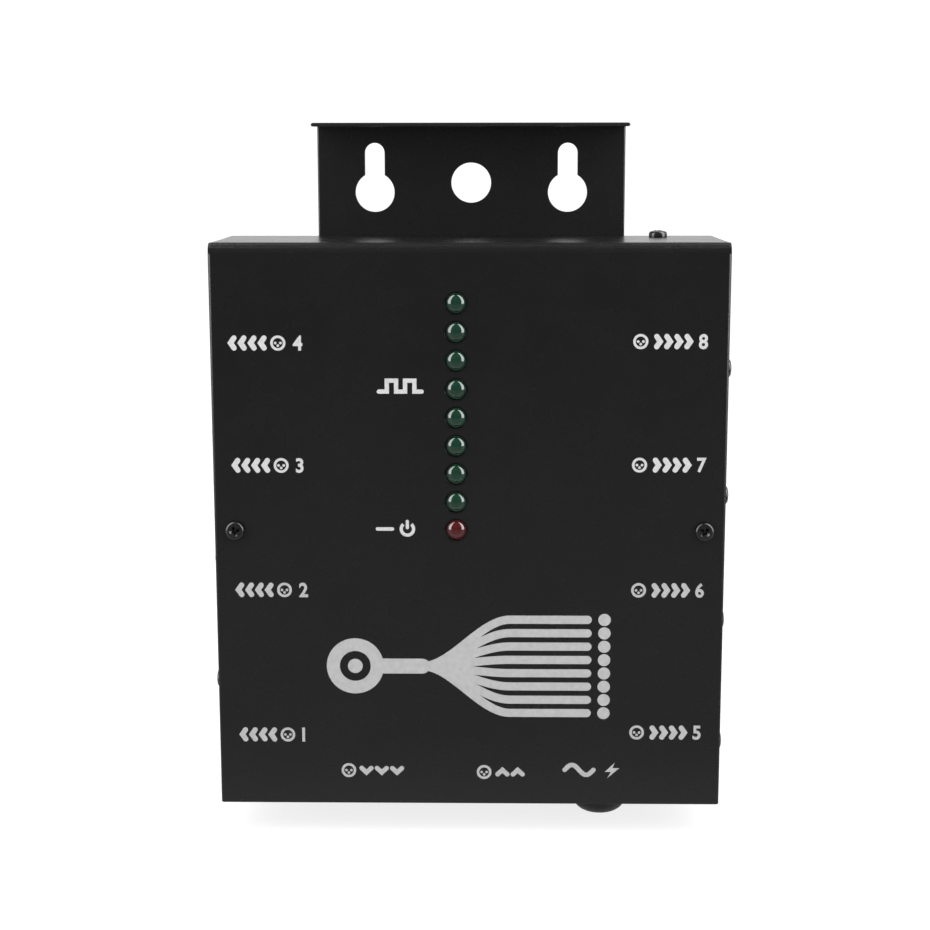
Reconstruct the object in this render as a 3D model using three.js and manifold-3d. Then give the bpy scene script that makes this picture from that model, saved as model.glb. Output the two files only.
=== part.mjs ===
// A wall or truss mounted data splitter: one input plug, one thru socket and eight output sockets
// in a folded sheet case. Millimetres, +X to the right, -Y towards the viewer, +Z up.
// The origin is the middle of the back plate's outer face, which lies against the wall.
import * as THREE from 'three';
import { mergeVertices } from 'three/addons/utils/BufferGeometryUtils.js';
import Module from 'manifold-3d';

const wasm = await Module();
wasm.setup();

// Case
const caseWidth = 150;
const caseHeight = 168;
const caseDepth = 46;
const chassisSheet = 1.5;
const coverSheet = 1.2;
const bendRadius = 1.8;

// Clearances
const fitGap = 0.3;
const cutOverrun = 1;

// Hanging tab
const tabWidth = 94.8;
const tabHeight = 34.2;
const lipReach = 21;
const keyholeSpacing = 59.4;
const keyholeDiameter = 12;
const keyholeSlotWidth = 6;
const keyholeSlotLength = 12;
const keyholeHeight = 13.3;
const clampHoleDiameter = 12.2;
const clampHoleHeight = 16.2;

// Screws and the lugs that they hold on to
const screwHeadDiameter = 5.6;
const screwHeadHeight = 1.8;
const screwHeadFlat = 0.9;
const screwShankDiameter = 2.9;
const screwLength = 6;
const recessWidth = 0.7;
const recessSpan = 3;
const recessDepth = 1;
const frontScrewInset = 6.1;
const topScrewInset = 18;
const topScrewSetback = 10;
const lugHeight = 14;
const lugWidth = 12;

// Lamps
const lampCount = 9;
const lampPitchShare = 0.0495238;
const lampColumnOffset = -3.8;
const lowestLampHeight = 0.3;
const lampDiameter = 5;
const lampLength = 8.6;
const lampRimDiameter = 5.9;
const lampRimThickness = 1;
const lampProud = 1.3;
const lampHoleDiameter = 6.5;
const lampLegWidth = 0.5;
const lampLegSpacing = 2.54;
const lampLegLength = 3.5;

// Circuit boards
const boardThickness = 1.6;
const lampBoardWidth = 14;
const lampBoardMargin = 8.5;
const mainBoardMargin = 2.5;
const mainBoardGap = 4;
const standoffHeight = 4.6;
const standoffDiameter = 6;
const pegDiameter = 2.6;
const pegProud = 0.8;
const spacerFlats = 5.5;
const spacerInsetShare = 1 / 3;

// Round three pole connectors, turned so that the longer side of the flange runs front to back
const noseDiameter = 23.4;
const noseProud = 0.5;
const socketWall = 2;
const plugWall = 3.6;
const boreDepth = 18;
const floorThickness = 4;
const floorStep = 1.3;
const flangeRim = 1.3;
const flangeEar = 3.8;
const flangeThickness = 2;
const flangeCorner = 3;
const flangeScrewInset = 3.5;
const flangeScrewBite = 1.2;
const insertRecess = 1.1;
const contactCircleShare = 19 / 39;
const contactHole = 2.6;
const contactDepth = 10;
const keyWidth = 2.4;
const keyDepth = 1.4;
const plugFaceDepth = 14;
const pinDiameter = 2.4;
const pinRecess = 2.5;
const tailWidth = 1;
const tailProud = 2.1;

// Push latch of a socket
const latchWidth = 7;
const latchThickness = 3.4;
const latchProud = 1.6;
const latchLength = 9.2;
const latchTravel = 1.5;
const latchRib = 0.5;
const hookReach = 0.8;
const hookThickness = 1.5;
const hookDepth = 5;
const guideWall = 1.2;

// Where the connectors sit
const outputsPerSide = 4;
const outputEndMargin = 27;
const outputColumnHeight = -0.7;
const thruPlaceShare = -0.190667;
const inputPlaceShare = 0.0666667;

// Cable gland
const glandPlaceShare = 0.268667;
const glandBodyDiameter = 17;
const glandCollar = 2.6;
const glandThread = 12;
const glandThreadLength = 9;
const glandSpigot = 11.4;
const glandSpigotLength = 3.5;
const glandBore = 8;
const glandNutHeight = 6.8;
const glandDome = 6;
const glandNutWall = 1.5;
const sealThickness = 1;
const locknutFlats = 17;
const locknutThickness = 4;

// Parts on the main board
const moduleWidthShare = 4 / 9;
const moduleShiftShare = -4 / 45;
const moduleDepth = 20;
const moduleGap = 4;
const moduleTopGap = 11.8;
const modulePin = 1;
const modulePinInset = 4;
const moduleCorner = 1.5;
const chipWidth = 6.4;
const chipLength = 9.6;
const chipHeight = 3.4;
const chipTopMargin = 13.86;
const chipPlaceShare = 8 / 15;
const fuseDiameter = 5.2;
const fuseLength = 20;
const fuseCapLength = 5;
const fuseCapDiameter = 5.6;
const fuseGap = 8;
const fuseLift = 1.2;
const clipWidth = 8;
const terminalWidth = 15;
const terminalHeight = 10;
const terminalDepth = 10;
const terminalWays = 3;
const terminalEntry = 3;
const terminalEntryDepth = 6;
const terminalStep = 6.5;
const terminalLedgeShare = 1 / 3;

// Ribbon cables and their headers
const headerWidth = 14;
const headerDepth = 5;
const headerHeight = 3.5;
const headerInset = 4;
const ribbonWidth = 12;
const ribbonThickness = 1;
const ribbonBend = 5;
const lampRibbonWidth = 8;
const lampHeaderWidth = 10;
const lampHeaderClear = 0.34;
const lampRibbonDrop = 6;

// How finely round things are divided
const roundSides = 20;
const coreSides = 16;
const lampSides = 10;
const smallSides = 8;
const contactSides = 6;
const domeSteps = 3;
const bendSteps = 2;

// Materials
function material(color, roughness, metalness) {
  return new THREE.MeshStandardMaterial({ color, roughness, metalness });
}
const blackCoat = material(0x222222, 0.55, 0.2);
const blackScrew = material(0x1b1b1b, 0.35, 0.8);
const blackPlastic = material(0x161616, 0.5, 0);
const connectorBlack = material(0x1d1d1f, 0.45, 0.3);
const nickel = material(0x8d8a84, 0.35, 1);
const greenLens = material(0x1f4f38, 0.15, 0);
const redLens = material(0x5c121a, 0.15, 0);
const boardGreen = material(0x1f5a35, 0.5, 0);
const rubber = material(0x111111, 0.9, 0);
const greyRibbon = material(0x8a8c8e, 0.7, 0);
const terminalGreen = material(0x2f7d4f, 0.5, 0);
const glassTube = material(0xc8d2d2, 0.1, 0);

// Turning geometry into solids and back
function solidOf(geometry) {
  geometry.deleteAttribute('normal');
  geometry.deleteAttribute('uv');
  const welded = mergeVertices(geometry);
  const corners = Array.from(welded.index.array);
  const kept = [];
  for (let i = 0; i < corners.length; i += 3) {
    const [a, b, c] = corners.slice(i, i + 3);
    if (a !== b && b !== c && c !== a) {
      kept.push(a, b, c);
    }
  }
  return new wasm.Manifold(new wasm.Mesh({
    numProp: 3,
    vertProperties: Float32Array.from(welded.attributes.position.array),
    triVerts: Uint32Array.from(kept),
  }));
}

function geometryOf(solid) {
  const mesh = solid.getMesh();
  const geometry = new THREE.BufferGeometry();
  geometry.setAttribute('position', new THREE.BufferAttribute(mesh.vertProperties, 3));
  geometry.setIndex(new THREE.BufferAttribute(mesh.triVerts, 1));
  return geometry;
}

function joined(solids) {
  return solids.reduce((whole, next) => whole.add(next));
}

// A box between two corners, each pair being its low and its high place along one axis
function block([x0, x1], [y0, y1], [z0, z1]) {
  const geometry = new THREE.BoxGeometry(x1 - x0, y1 - y0, z1 - z0);
  geometry.translate((x0 + x1) / 2, (y0 + y1) / 2, (z0 + z1) / 2);
  return solidOf(geometry);
}

// A span of a given width about a middle
function about(middle, width) {
  return [middle - width / 2, middle + width / 2];
}

function sorted(span) {
  return [Math.min(...span), Math.max(...span)];
}

// A solid turned about Z from points of radius and height
function turned(points, sides) {
  const profile = points.map(([radius, height]) => new THREE.Vector2(radius, height));
  const geometry = new THREE.LatheGeometry(profile, sides);
  geometry.rotateX(Math.PI / 2);
  return solidOf(geometry);
}

function rod(diameter, [low, high], sides) {
  const radius = diameter / 2;
  return turned([[0, low], [radius, low], [radius, high], [0, high]], sides);
}

// A hexagonal prism about Z, measured across its flats
function hexRod(flats, span) {
  return rod(flats / Math.cos(Math.PI / 6), span, 6);
}

function extruded(shape, [low, high]) {
  const geometry = new THREE.ExtrudeGeometry(shape, {
    depth: high - low,
    bevelEnabled: false,
    curveSegments: bendSteps,
  });
  geometry.translate(0, 0, low);
  return solidOf(geometry);
}

// Moves a solid drawn about Z so that its Z points along outward and its Y along upright
function frameAt(position, outward, upright) {
  const z = new THREE.Vector3(...outward);
  const y = new THREE.Vector3(...upright);
  const x = new THREE.Vector3().crossVectors(y, z);
  return new THREE.Matrix4().makeBasis(x, y, z).setPosition(...position);
}

function placed(solid, frame) {
  return solid.transform(frame.elements);
}

// Takes a solid drawn with its outline in Y and Z, and its length along Z, to run along X
const sideways = frameAt([0, 0, 0], [1, 0, 0], [0, 0, 1]);

const left = [-1, 0, 0];
const right = [1, 0, 0];
const forward = [0, -1, 0];
const backward = [0, 1, 0];
const down = [0, 0, -1];
const up = [0, 0, 1];

// The tree of named pieces
const splitter = new THREE.Group();

function addPiece(name, geometry, look, parent = splitter) {
  const mesh = new THREE.Mesh(geometry, look);
  mesh.name = name;
  parent.add(mesh);
  return mesh;
}

function addSolid(name, solid, look, parent = splitter) {
  return addPiece(name, geometryOf(solid), look, parent);
}

// Places that several pieces share
const halfWidth = caseWidth / 2;
const halfHeight = caseHeight / 2;
const frontFace = -caseDepth;
const coverBack = frontFace + coverSheet;
const wallFront = coverBack + fitGap;
const wallTop = halfHeight - coverSheet - fitGap;
const plateFront = -chassisSheet;
const tabTop = halfHeight + tabHeight;
const socketMiddle = -caseDepth / 2;
const socketBore = noseDiameter - 2 * socketWall;
const plugBore = noseDiameter - 2 * plugWall;
const insertDiameter = plugBore - 2 * fitGap;
const floorHole = insertDiameter - 2 * floorStep;
const contactCircle = insertDiameter * contactCircleShare;
const latchPlace = noseDiameter / 2;
const flangeWidth = noseDiameter + 2 * flangeRim;
const flangeLength = noseDiameter + 2 * flangeEar;
const flangeTop = -chassisSheet - fitGap;
const flangeBottom = flangeTop - flangeThickness;
const shellDepth = boreDepth + floorThickness;
const tailEnd = shellDepth + fitGap + boardThickness + tailProud;
const holeDiameter = screwShankDiameter + 2 * fitGap;
const mainBoardRear = plateFront - standoffHeight - fitGap;
const mainBoardFront = mainBoardRear - boardThickness;
const lampBase = frontFace - lampProud + lampLength;
const lampBoardFront = lampBase + fitGap;
const lampBoardRear = lampBoardFront + boardThickness;
const lampPitch = caseHeight * lampPitchShare;
const lampRibbonHeight = lowestLampHeight + (Math.floor(lampCount / 2) + 1 / 2) * lampPitch;
const highestLamp = lowestLampHeight + (lampCount - 1) * lampPitch;
const lampBoardSpan = [lowestLampHeight - lampBoardMargin, highestLamp + lampBoardMargin];
const spacerInset = lampBoardMargin * spacerInsetShare;
const spacerPlaces = [lampBoardSpan[0] + spacerInset, lampBoardSpan[1] - spacerInset];
const mainBoardHalf = halfWidth - tailEnd - mainBoardGap;
const bottomBoardLevel = -halfHeight + shellDepth + fitGap;
const bottomBoardSpan = [bottomBoardLevel, bottomBoardLevel + boardThickness];
const mainBoardSpan = [bottomBoardSpan[0] - mainBoardMargin, lampBoardSpan[1] + mainBoardMargin];
const pegInset = mainBoardMargin + standoffDiameter / 2;
const topScrewOffset = halfWidth - topScrewInset;
const lampLegHole = lampLegWidth + 2 * fitGap;
const lampHeaderDepth = lampPitch - lampLegSpacing - lampLegHole - 2 * lampHeaderClear;

// Screw: its head stands above local zero and its shank runs down
function screwSolid(length, sides) {
  const headRadius = screwHeadDiameter / 2;
  const shankRadius = screwShankDiameter / 2;
  const seat = fitGap;
  const top = seat + screwHeadHeight;
  const shoulder = seat + screwHeadFlat;
  const crown = (headRadius + shankRadius) / 2;
  return turned([
    [0, -length],
    [shankRadius, -length],
    [shankRadius, seat],
    [headRadius, seat],
    [headRadius, shoulder],
    [crown, top],
    [0, top],
  ], sides);
}

function crossRecess() {
  const top = fitGap + screwHeadHeight;
  const depth = [top - recessDepth, top + cutOverrun];
  const across = block(about(0, recessSpan), about(0, recessWidth), depth);
  const along = block(about(0, recessWidth), about(0, recessSpan), depth);
  return across.add(along);
}

// Connector frames on the three walls
const outputPitch = (caseHeight - 2 * outputEndMargin) / (outputsPerSide - 1);
const outputFrames = [];
for (let i = 0; i < outputsPerSide; i += 1) {
  const height = outputColumnHeight + (i - (outputsPerSide - 1) / 2) * outputPitch;
  outputFrames[i] = frameAt([-halfWidth, socketMiddle, height], left, forward);
  outputFrames[outputsPerSide + i] = frameAt([halfWidth, socketMiddle, height], right, forward);
}
const thruOffset = caseWidth * thruPlaceShare;
const inputOffset = caseWidth * inputPlaceShare;
const glandOffset = caseWidth * glandPlaceShare;
const thruFrame = frameAt([thruOffset, socketMiddle, -halfHeight], down, forward);
const inputFrame = frameAt([inputOffset, socketMiddle, -halfHeight], down, forward);
const glandFrame = frameAt([glandOffset, socketMiddle, -halfHeight], down, forward);

const flangeScrewX = flangeWidth / 2 - flangeScrewInset;
const flangeScrewY = flangeLength / 2 - flangeScrewInset;
const flangeScrewPlaces = [
  [-flangeScrewX, flangeScrewY],
  [flangeScrewX, -flangeScrewY],
];
const guideWidth = latchWidth + 2 * fitGap + 2 * guideWall;
const guideTop = latchPlace + latchThickness / 2 + fitGap + guideWall;
const slotSpan = [latchPlace - latchThickness, latchPlace + latchThickness / 2 + fitGap];
const slotFloor = latchProud - latchLength - latchTravel - 2 * fitGap;

// What a connector takes out of the wall that it is fixed in
function wallCutout(hasLatch) {
  const through = [-chassisSheet - cutOverrun, cutOverrun];
  const cuts = [rod(noseDiameter + 2 * fitGap, through, roundSides)];
  for (const [x, y] of flangeScrewPlaces) {
    cuts.push(rod(holeDiameter, through, smallSides).translate(x, y, 0));
  }
  if (hasLatch) {
    cuts.push(block(about(0, guideWidth + 2 * fitGap), [0, guideTop + fitGap], through));
  }
  return joined(cuts);
}

// The openings of the hanging tab, through the back plate's thickness
function keyholeCut(x) {
  const through = [plateFront - cutOverrun, cutOverrun];
  const middle = halfHeight + keyholeHeight;
  const slotTop = middle + keyholeSlotLength;
  const round = rod(keyholeDiameter, about(0, caseDepth), roundSides);
  const slotEnd = rod(keyholeSlotWidth, about(0, caseDepth), lampSides);
  const slot = block(about(x, keyholeSlotWidth), through, [middle, slotTop]);
  return joined([
    placed(round, frameAt([x, 0, middle], forward, up)),
    placed(slotEnd, frameAt([x, 0, slotTop], forward, up)),
    slot,
  ]);
}

// Folded chassis: back plate, side walls, bottom, hanging tab, lugs and board standoffs
function chassisWalls() {
  const inner = halfWidth - chassisSheet;
  const innerBend = bendRadius - chassisSheet;
  const outline = new THREE.Shape();
  outline.moveTo(-halfWidth, wallFront);
  outline.lineTo(-inner, wallFront);
  outline.lineTo(-inner, -bendRadius);
  outline.absarc(-halfWidth + bendRadius, -bendRadius, innerBend, Math.PI, Math.PI / 2, true);
  outline.lineTo(halfWidth - bendRadius, plateFront);
  outline.absarc(halfWidth - bendRadius, -bendRadius, innerBend, Math.PI / 2, 0, true);
  outline.lineTo(inner, wallFront);
  outline.lineTo(halfWidth, wallFront);
  outline.lineTo(halfWidth, -bendRadius);
  outline.absarc(halfWidth - bendRadius, -bendRadius, bendRadius, 0, Math.PI / 2, false);
  outline.lineTo(-halfWidth + bendRadius, 0);
  outline.absarc(-halfWidth + bendRadius, -bendRadius, bendRadius, Math.PI / 2, Math.PI, false);
  outline.lineTo(-halfWidth, wallFront);
  const tube = extruded(outline, [-halfHeight, halfHeight]);
  const aboveWalls = block(
    about(0, caseWidth + 2 * cutOverrun),
    [wallFront - cutOverrun, plateFront - fitGap],
    [wallTop, halfHeight + cutOverrun],
  );
  return tube.subtract(aboveWalls);
}

function tabSheet() {
  const innerBend = bendRadius - chassisSheet;
  const bendHeight = tabTop - bendRadius;
  const outline = new THREE.Shape();
  outline.moveTo(0, halfHeight - chassisSheet);
  outline.lineTo(0, bendHeight);
  outline.absarc(-bendRadius, bendHeight, bendRadius, 0, Math.PI / 2, false);
  outline.lineTo(-lipReach, tabTop);
  outline.lineTo(-lipReach, tabTop - chassisSheet);
  outline.lineTo(-bendRadius, tabTop - chassisSheet);
  outline.absarc(-bendRadius, bendHeight, innerBend, Math.PI / 2, 0, true);
  outline.lineTo(plateFront, halfHeight - chassisSheet);
  outline.lineTo(0, halfHeight - chassisSheet);
  return placed(extruded(outline, about(0, tabWidth)), sideways);
}

function boardStandoff(x, z) {
  const radius = standoffDiameter / 2;
  const pegRadius = pegDiameter / 2;
  const seat = standoffHeight;
  const tip = seat + fitGap + boardThickness + pegProud;
  const post = turned([
    [0, -chassisSheet / 2],
    [radius, -chassisSheet / 2],
    [radius, seat],
    [pegRadius, seat],
    [pegRadius, tip],
    [0, tip],
  ], smallSides);
  return placed(post, frameAt([x, plateFront, z], forward, up));
}

const standoffPlaces = [];
for (const x of [-mainBoardHalf + pegInset, mainBoardHalf - pegInset]) {
  for (const z of [mainBoardSpan[0] + pegInset, mainBoardSpan[1] - pegInset]) {
    standoffPlaces.push([x, z]);
  }
}
const frontScrewPlaces = [-halfWidth + frontScrewInset, halfWidth - frontScrewInset];

function rearChassis() {
  const parts = [chassisWalls(), tabSheet()];
  const bottom = [-halfHeight, -halfHeight + chassisSheet];
  parts.push(block(about(0, caseWidth - chassisSheet), [wallFront, plateFront / 2], bottom));
  for (const side of [-1, 1]) {
    const lugEnd = halfWidth - chassisSheet - lugWidth;
    const lugReach = sorted([side * (halfWidth - chassisSheet / 2), side * lugEnd]);
    parts.push(block(lugReach, [wallFront, wallFront + chassisSheet], about(0, lugHeight)));
  }
  const topLugReach = [-topScrewSetback - lugWidth / 2, plateFront / 2];
  parts.push(block(about(topScrewOffset, lugHeight), topLugReach, [wallTop - chassisSheet, wallTop]));
  for (const [x, z] of standoffPlaces) {
    parts.push(boardStandoff(x, z));
  }
  const cuts = [keyholeCut(-keyholeSpacing / 2), keyholeCut(keyholeSpacing / 2)];
  const clampHole = rod(clampHoleDiameter, about(0, caseDepth), roundSides);
  cuts.push(placed(clampHole, frameAt([0, 0, halfHeight + clampHoleHeight], forward, up)));
  for (const frame of outputFrames) {
    cuts.push(placed(wallCutout(true), frame));
  }
  cuts.push(placed(wallCutout(true), thruFrame));
  cuts.push(placed(wallCutout(false), inputFrame));
  const glandHole = rod(glandThread + 2 * fitGap, about(0, 2 * lugHeight), roundSides);
  cuts.push(placed(glandHole, glandFrame));
  const lugHole = rod(holeDiameter, about(0, lugHeight), smallSides);
  for (const x of frontScrewPlaces) {
    cuts.push(placed(lugHole, frameAt([x, wallFront, 0], forward, up)));
  }
  cuts.push(lugHole.translate(topScrewOffset, -topScrewSetback, wallTop));
  return joined(parts).subtract(joined(cuts));
}

addSolid('rear_chassis', rearChassis(), blackCoat);

// Front cover: front and top in one folded sheet
function frontCover() {
  const innerBend = bendRadius - coverSheet;
  const bendDepth = frontFace + bendRadius;
  const bendHeight = halfHeight - bendRadius;
  const backEdge = plateFront - fitGap;
  const outline = new THREE.Shape();
  outline.moveTo(coverBack, -halfHeight);
  outline.lineTo(coverBack, bendHeight);
  outline.absarc(bendDepth, bendHeight, innerBend, Math.PI, Math.PI / 2, true);
  outline.lineTo(backEdge, halfHeight - coverSheet);
  outline.lineTo(backEdge, halfHeight);
  outline.lineTo(bendDepth, halfHeight);
  outline.absarc(bendDepth, bendHeight, bendRadius, Math.PI / 2, Math.PI, false);
  outline.lineTo(frontFace, -halfHeight);
  outline.lineTo(coverBack, -halfHeight);
  const sheet = placed(extruded(outline, about(0, caseWidth)), sideways);
  const cuts = [];
  const lampHole = rod(lampHoleDiameter, about(0, lugHeight), lampSides);
  for (let i = 0; i < lampCount; i += 1) {
    const place = [lampColumnOffset, frontFace, lowestLampHeight + i * lampPitch];
    cuts.push(placed(lampHole, frameAt(place, forward, up)));
  }
  const screwHole = rod(holeDiameter, about(0, lugHeight), smallSides);
  for (const x of frontScrewPlaces) {
    cuts.push(placed(screwHole, frameAt([x, frontFace, 0], forward, up)));
  }
  cuts.push(screwHole.translate(topScrewOffset, -topScrewSetback, halfHeight));
  return sheet.subtract(joined(cuts));
}

addSolid('front_cover', frontCover(), blackCoat);

// The three screws that close the case
const caseScrew = geometryOf(screwSolid(screwLength, lampSides).subtract(crossRecess()));
const caseScrewFrames = {
  front_screw_left: frameAt([frontScrewPlaces[0], frontFace, 0], forward, up),
  front_screw_right: frameAt([frontScrewPlaces[1], frontFace, 0], forward, up),
  top_screw: frameAt([topScrewOffset, -topScrewSetback, halfHeight], up, backward),
};
for (const [name, frame] of Object.entries(caseScrewFrames)) {
  addPiece(name, caseScrew, blackScrew).applyMatrix4(frame);
}

// Lamps: eight signal lamps above one power lamp
function lampSolid() {
  const radius = lampDiameter / 2;
  const rimRadius = lampRimDiameter / 2;
  const shoulder = lampLength - radius;
  const profile = [[0, 0], [rimRadius, 0], [rimRadius, lampRimThickness], [radius, lampRimThickness]];
  for (let i = 0; i <= domeSteps; i += 1) {
    const turn = (i / domeSteps) * Math.PI / 2;
    profile.push([radius * Math.cos(turn), shoulder + radius * Math.sin(turn)]);
  }
  profile[profile.length - 1][0] = 0;
  const legs = [-1, 1].map((side) => block(
    about(0, lampLegWidth),
    about(side * lampLegSpacing / 2, lampLegWidth),
    [-lampLegLength, lampRimThickness / 2],
  ));
  return joined([turned(profile, lampSides), ...legs]);
}

const lamp = geometryOf(lampSolid());
for (let i = 0; i < lampCount; i += 1) {
  const name = i === 0 ? 'power_lamp' : `signal_lamp_${i}`;
  const look = i === 0 ? redLens : greenLens;
  const place = [lampColumnOffset, lampBase, lowestLampHeight + i * lampPitch];
  addPiece(name, lamp, look).applyMatrix4(frameAt(place, forward, up));
}

function lampBoard() {
  const across = about(lampColumnOffset, lampBoardWidth);
  const sheet = block(across, [lampBoardFront, lampBoardRear], lampBoardSpan);
  const headerSpan = [lampBoardRear - boardThickness / 2, lampBoardRear + headerHeight];
  const header = block(
    about(lampColumnOffset, lampHeaderWidth),
    headerSpan,
    about(lampRibbonHeight, lampHeaderDepth),
  );
  const cuts = [];
  const through = [lampBoardFront - cutOverrun, lampBoardRear + cutOverrun];
  for (let i = 0; i < lampCount; i += 1) {
    const height = lowestLampHeight + i * lampPitch;
    for (const side of [-1, 1]) {
      const z = height + side * lampLegSpacing / 2;
      cuts.push(block(about(lampColumnOffset, lampLegHole), through, about(z, lampLegHole)));
    }
  }
  const pegHole = rod(pegDiameter + 2 * fitGap, about(0, 2 * cutOverrun + 2 * boardThickness), smallSides);
  for (const z of spacerPlaces) {
    cuts.push(placed(pegHole, frameAt([lampColumnOffset, lampBoardFront, z], forward, up)));
  }
  return sheet.subtract(joined(cuts)).add(header);
}

addSolid('lamp_board', lampBoard(), boardGreen);

// Hexagonal spacers that carry the lamp board in front of the main board
const spacerLength = mainBoardFront - lampBoardRear - 2 * fitGap;
function spacerSolid() {
  const tip = fitGap + boardThickness + pegProud;
  const body = hexRod(spacerFlats, [0, spacerLength]);
  const peg = rod(pegDiameter, [-tip, spacerLength + tip], smallSides);
  return body.add(peg);
}
const spacer = geometryOf(spacerSolid());
spacerPlaces.forEach((z, i) => {
  const name = i === 0 ? 'lamp_board_spacer_lower' : 'lamp_board_spacer_upper';
  const place = [lampColumnOffset, mainBoardFront - fitGap, z];
  addPiece(name, spacer, nickel).applyMatrix4(frameAt(place, forward, up));
});

// Connector shells, drawn with their outer wall face at local zero and the latch side along Y
function roundedFlange() {
  const x = flangeWidth / 2;
  const y = flangeLength / 2;
  const r = flangeCorner;
  const outline = new THREE.Shape();
  outline.moveTo(-x + r, -y);
  outline.lineTo(x - r, -y);
  outline.absarc(x - r, -y + r, r, -Math.PI / 2, 0, false);
  outline.lineTo(x, y - r);
  outline.absarc(x - r, y - r, r, 0, Math.PI / 2, false);
  outline.lineTo(-x + r, y);
  outline.absarc(-x + r, y - r, r, Math.PI / 2, Math.PI, false);
  outline.lineTo(-x, -y + r);
  outline.absarc(-x + r, -y + r, r, Math.PI, Math.PI * 1.5, false);
  return extruded(outline, [flangeBottom, flangeTop]);
}

function shellSolid(bore, hasLatch) {
  const parts = [rod(noseDiameter, [-shellDepth, noseProud], roundSides), roundedFlange()];
  if (hasLatch) {
    parts.push(block(about(0, guideWidth), [0, guideTop], [slotFloor - guideWall, noseProud]));
  }
  const cuts = [
    rod(bore, [-boreDepth, noseProud + cutOverrun], roundSides),
    rod(floorHole, [-shellDepth - cutOverrun, noseProud], coreSides),
  ];
  if (hasLatch) {
    cuts.push(block(about(0, latchWidth + 2 * fitGap), slotSpan, [slotFloor, noseProud + cutOverrun]));
  }
  const screwEnd = flangeScrewBite - flangeTop;
  const screws = flangeScrewPlaces.map(([x, y]) => screwSolid(screwEnd, smallSides).translate(x, y, 0));
  return joined([joined(parts).subtract(joined(cuts)), ...screws]);
}

// Contacts sit at the left, right and bottom of a circle, with the latch side at its top
const contactPlaces = [0, Math.PI, Math.PI * 1.5].map((turn) => [
  contactCircle / 2 * Math.cos(turn),
  contactCircle / 2 * Math.sin(turn),
]);

function solderTails() {
  return contactPlaces.map(([x, y]) => block(
    about(x, tailWidth),
    about(y, tailWidth),
    [-tailEnd, -boreDepth],
  ));
}

function insertBase(face) {
  const radius = insertDiameter / 2;
  const bossRadius = floorHole / 2 - fitGap;
  const seat = -boreDepth + fitGap;
  return turned([
    [0, -shellDepth],
    [bossRadius, -shellDepth],
    [bossRadius, seat],
    [radius, seat],
    [radius, face],
    [0, face],
  ], coreSides);
}

function socketInsert() {
  const face = -insertRecess;
  const sunk = [face - contactDepth, face + cutOverrun];
  const hole = rod(contactHole, sunk, contactSides);
  const cuts = contactPlaces.map(([x, y]) => hole.translate(x, y, 0));
  const edge = insertDiameter / 2;
  cuts.push(block(about(0, keyWidth), [edge - keyDepth, edge + cutOverrun], sunk));
  return joined([insertBase(face).subtract(joined(cuts)), ...solderTails()]);
}

function plugInsert() {
  const face = -plugFaceDepth;
  const pin = rod(pinDiameter, [face - fitGap, -pinRecess], smallSides);
  const pins = contactPlaces.map(([x, y]) => pin.translate(x, y, 0));
  return joined([insertBase(face), ...pins, ...solderTails()]);
}

// The latch is a push tab with a finger rib and a hook that holds the plug
function latchSolid() {
  const radial = about(latchPlace, latchThickness);
  const bottom = latchProud - latchLength;
  const body = block(about(0, latchWidth), radial, [bottom, latchProud - latchRib]);
  const ribDepth = about(latchPlace, latchThickness / 2);
  const rib = block(about(0, latchWidth), ribDepth, [latchProud - 2 * latchRib, latchProud]);
  const hookSpan = [-hookDepth - hookThickness, -hookDepth];
  const hook = block(about(0, latchWidth / 2), [radial[0] - hookReach, latchPlace], hookSpan);
  return joined([body, rib, hook]);
}

const socketShell = geometryOf(shellSolid(socketBore, true));
const plugShell = geometryOf(shellSolid(plugBore, false));
const socketCore = geometryOf(socketInsert());
const plugCore = geometryOf(plugInsert());
const latch = geometryOf(latchSolid());

function addSocket(name, frame) {
  const place = new THREE.Group();
  place.applyMatrix4(frame);
  splitter.add(place);
  addPiece(`${name}_shell`, socketShell, connectorBlack, place);
  addPiece(`${name}_insert`, socketCore, blackPlastic, place);
  addPiece(`${name}_latch`, latch, nickel, place);
}

outputFrames.forEach((frame, i) => addSocket(`output_${i + 1}`, frame));
addSocket('thru', thruFrame);

const inputPlace = new THREE.Group();
inputPlace.applyMatrix4(inputFrame);
splitter.add(inputPlace);
addPiece('input_shell', plugShell, connectorBlack, inputPlace);
addPiece('input_insert', plugCore, blackPlastic, inputPlace);

// Boards that the solder tails of the connectors pass through
function tailHoles() {
  const hole = tailWidth + 2 * fitGap;
  const depth = [-tailEnd - cutOverrun, -shellDepth];
  return joined(contactPlaces.map(([x, y]) => block(about(x, hole), about(y, hole), depth)));
}

const socketBoardSpan = about(socketMiddle, flangeWidth + 2 * guideWall);
const ribbonLevel = socketMiddle;

function sideBoard(side) {
  const outer = halfWidth - shellDepth - fitGap;
  const inner = outer - boardThickness;
  const reach = (outputsPerSide - 1) / 2 * outputPitch + flangeWidth / 2;
  const heights = [outputColumnHeight - reach, outputColumnHeight + reach];
  const across = sorted([side * inner, side * outer]);
  const headerSpan = sorted([side * (inner - headerHeight), side * (inner + boardThickness / 2)]);
  const header = block(headerSpan, about(ribbonLevel, headerDepth), about(outputColumnHeight, headerWidth));
  const first = side < 0 ? 0 : outputsPerSide;
  const cuts = outputFrames.slice(first, first + outputsPerSide).map((frame) => placed(tailHoles(), frame));
  return block(across, socketBoardSpan, heights).subtract(joined(cuts)).add(header);
}

addSolid('left_socket_board', sideBoard(-1), boardGreen);
addSolid('right_socket_board', sideBoard(1), boardGreen);

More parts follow.
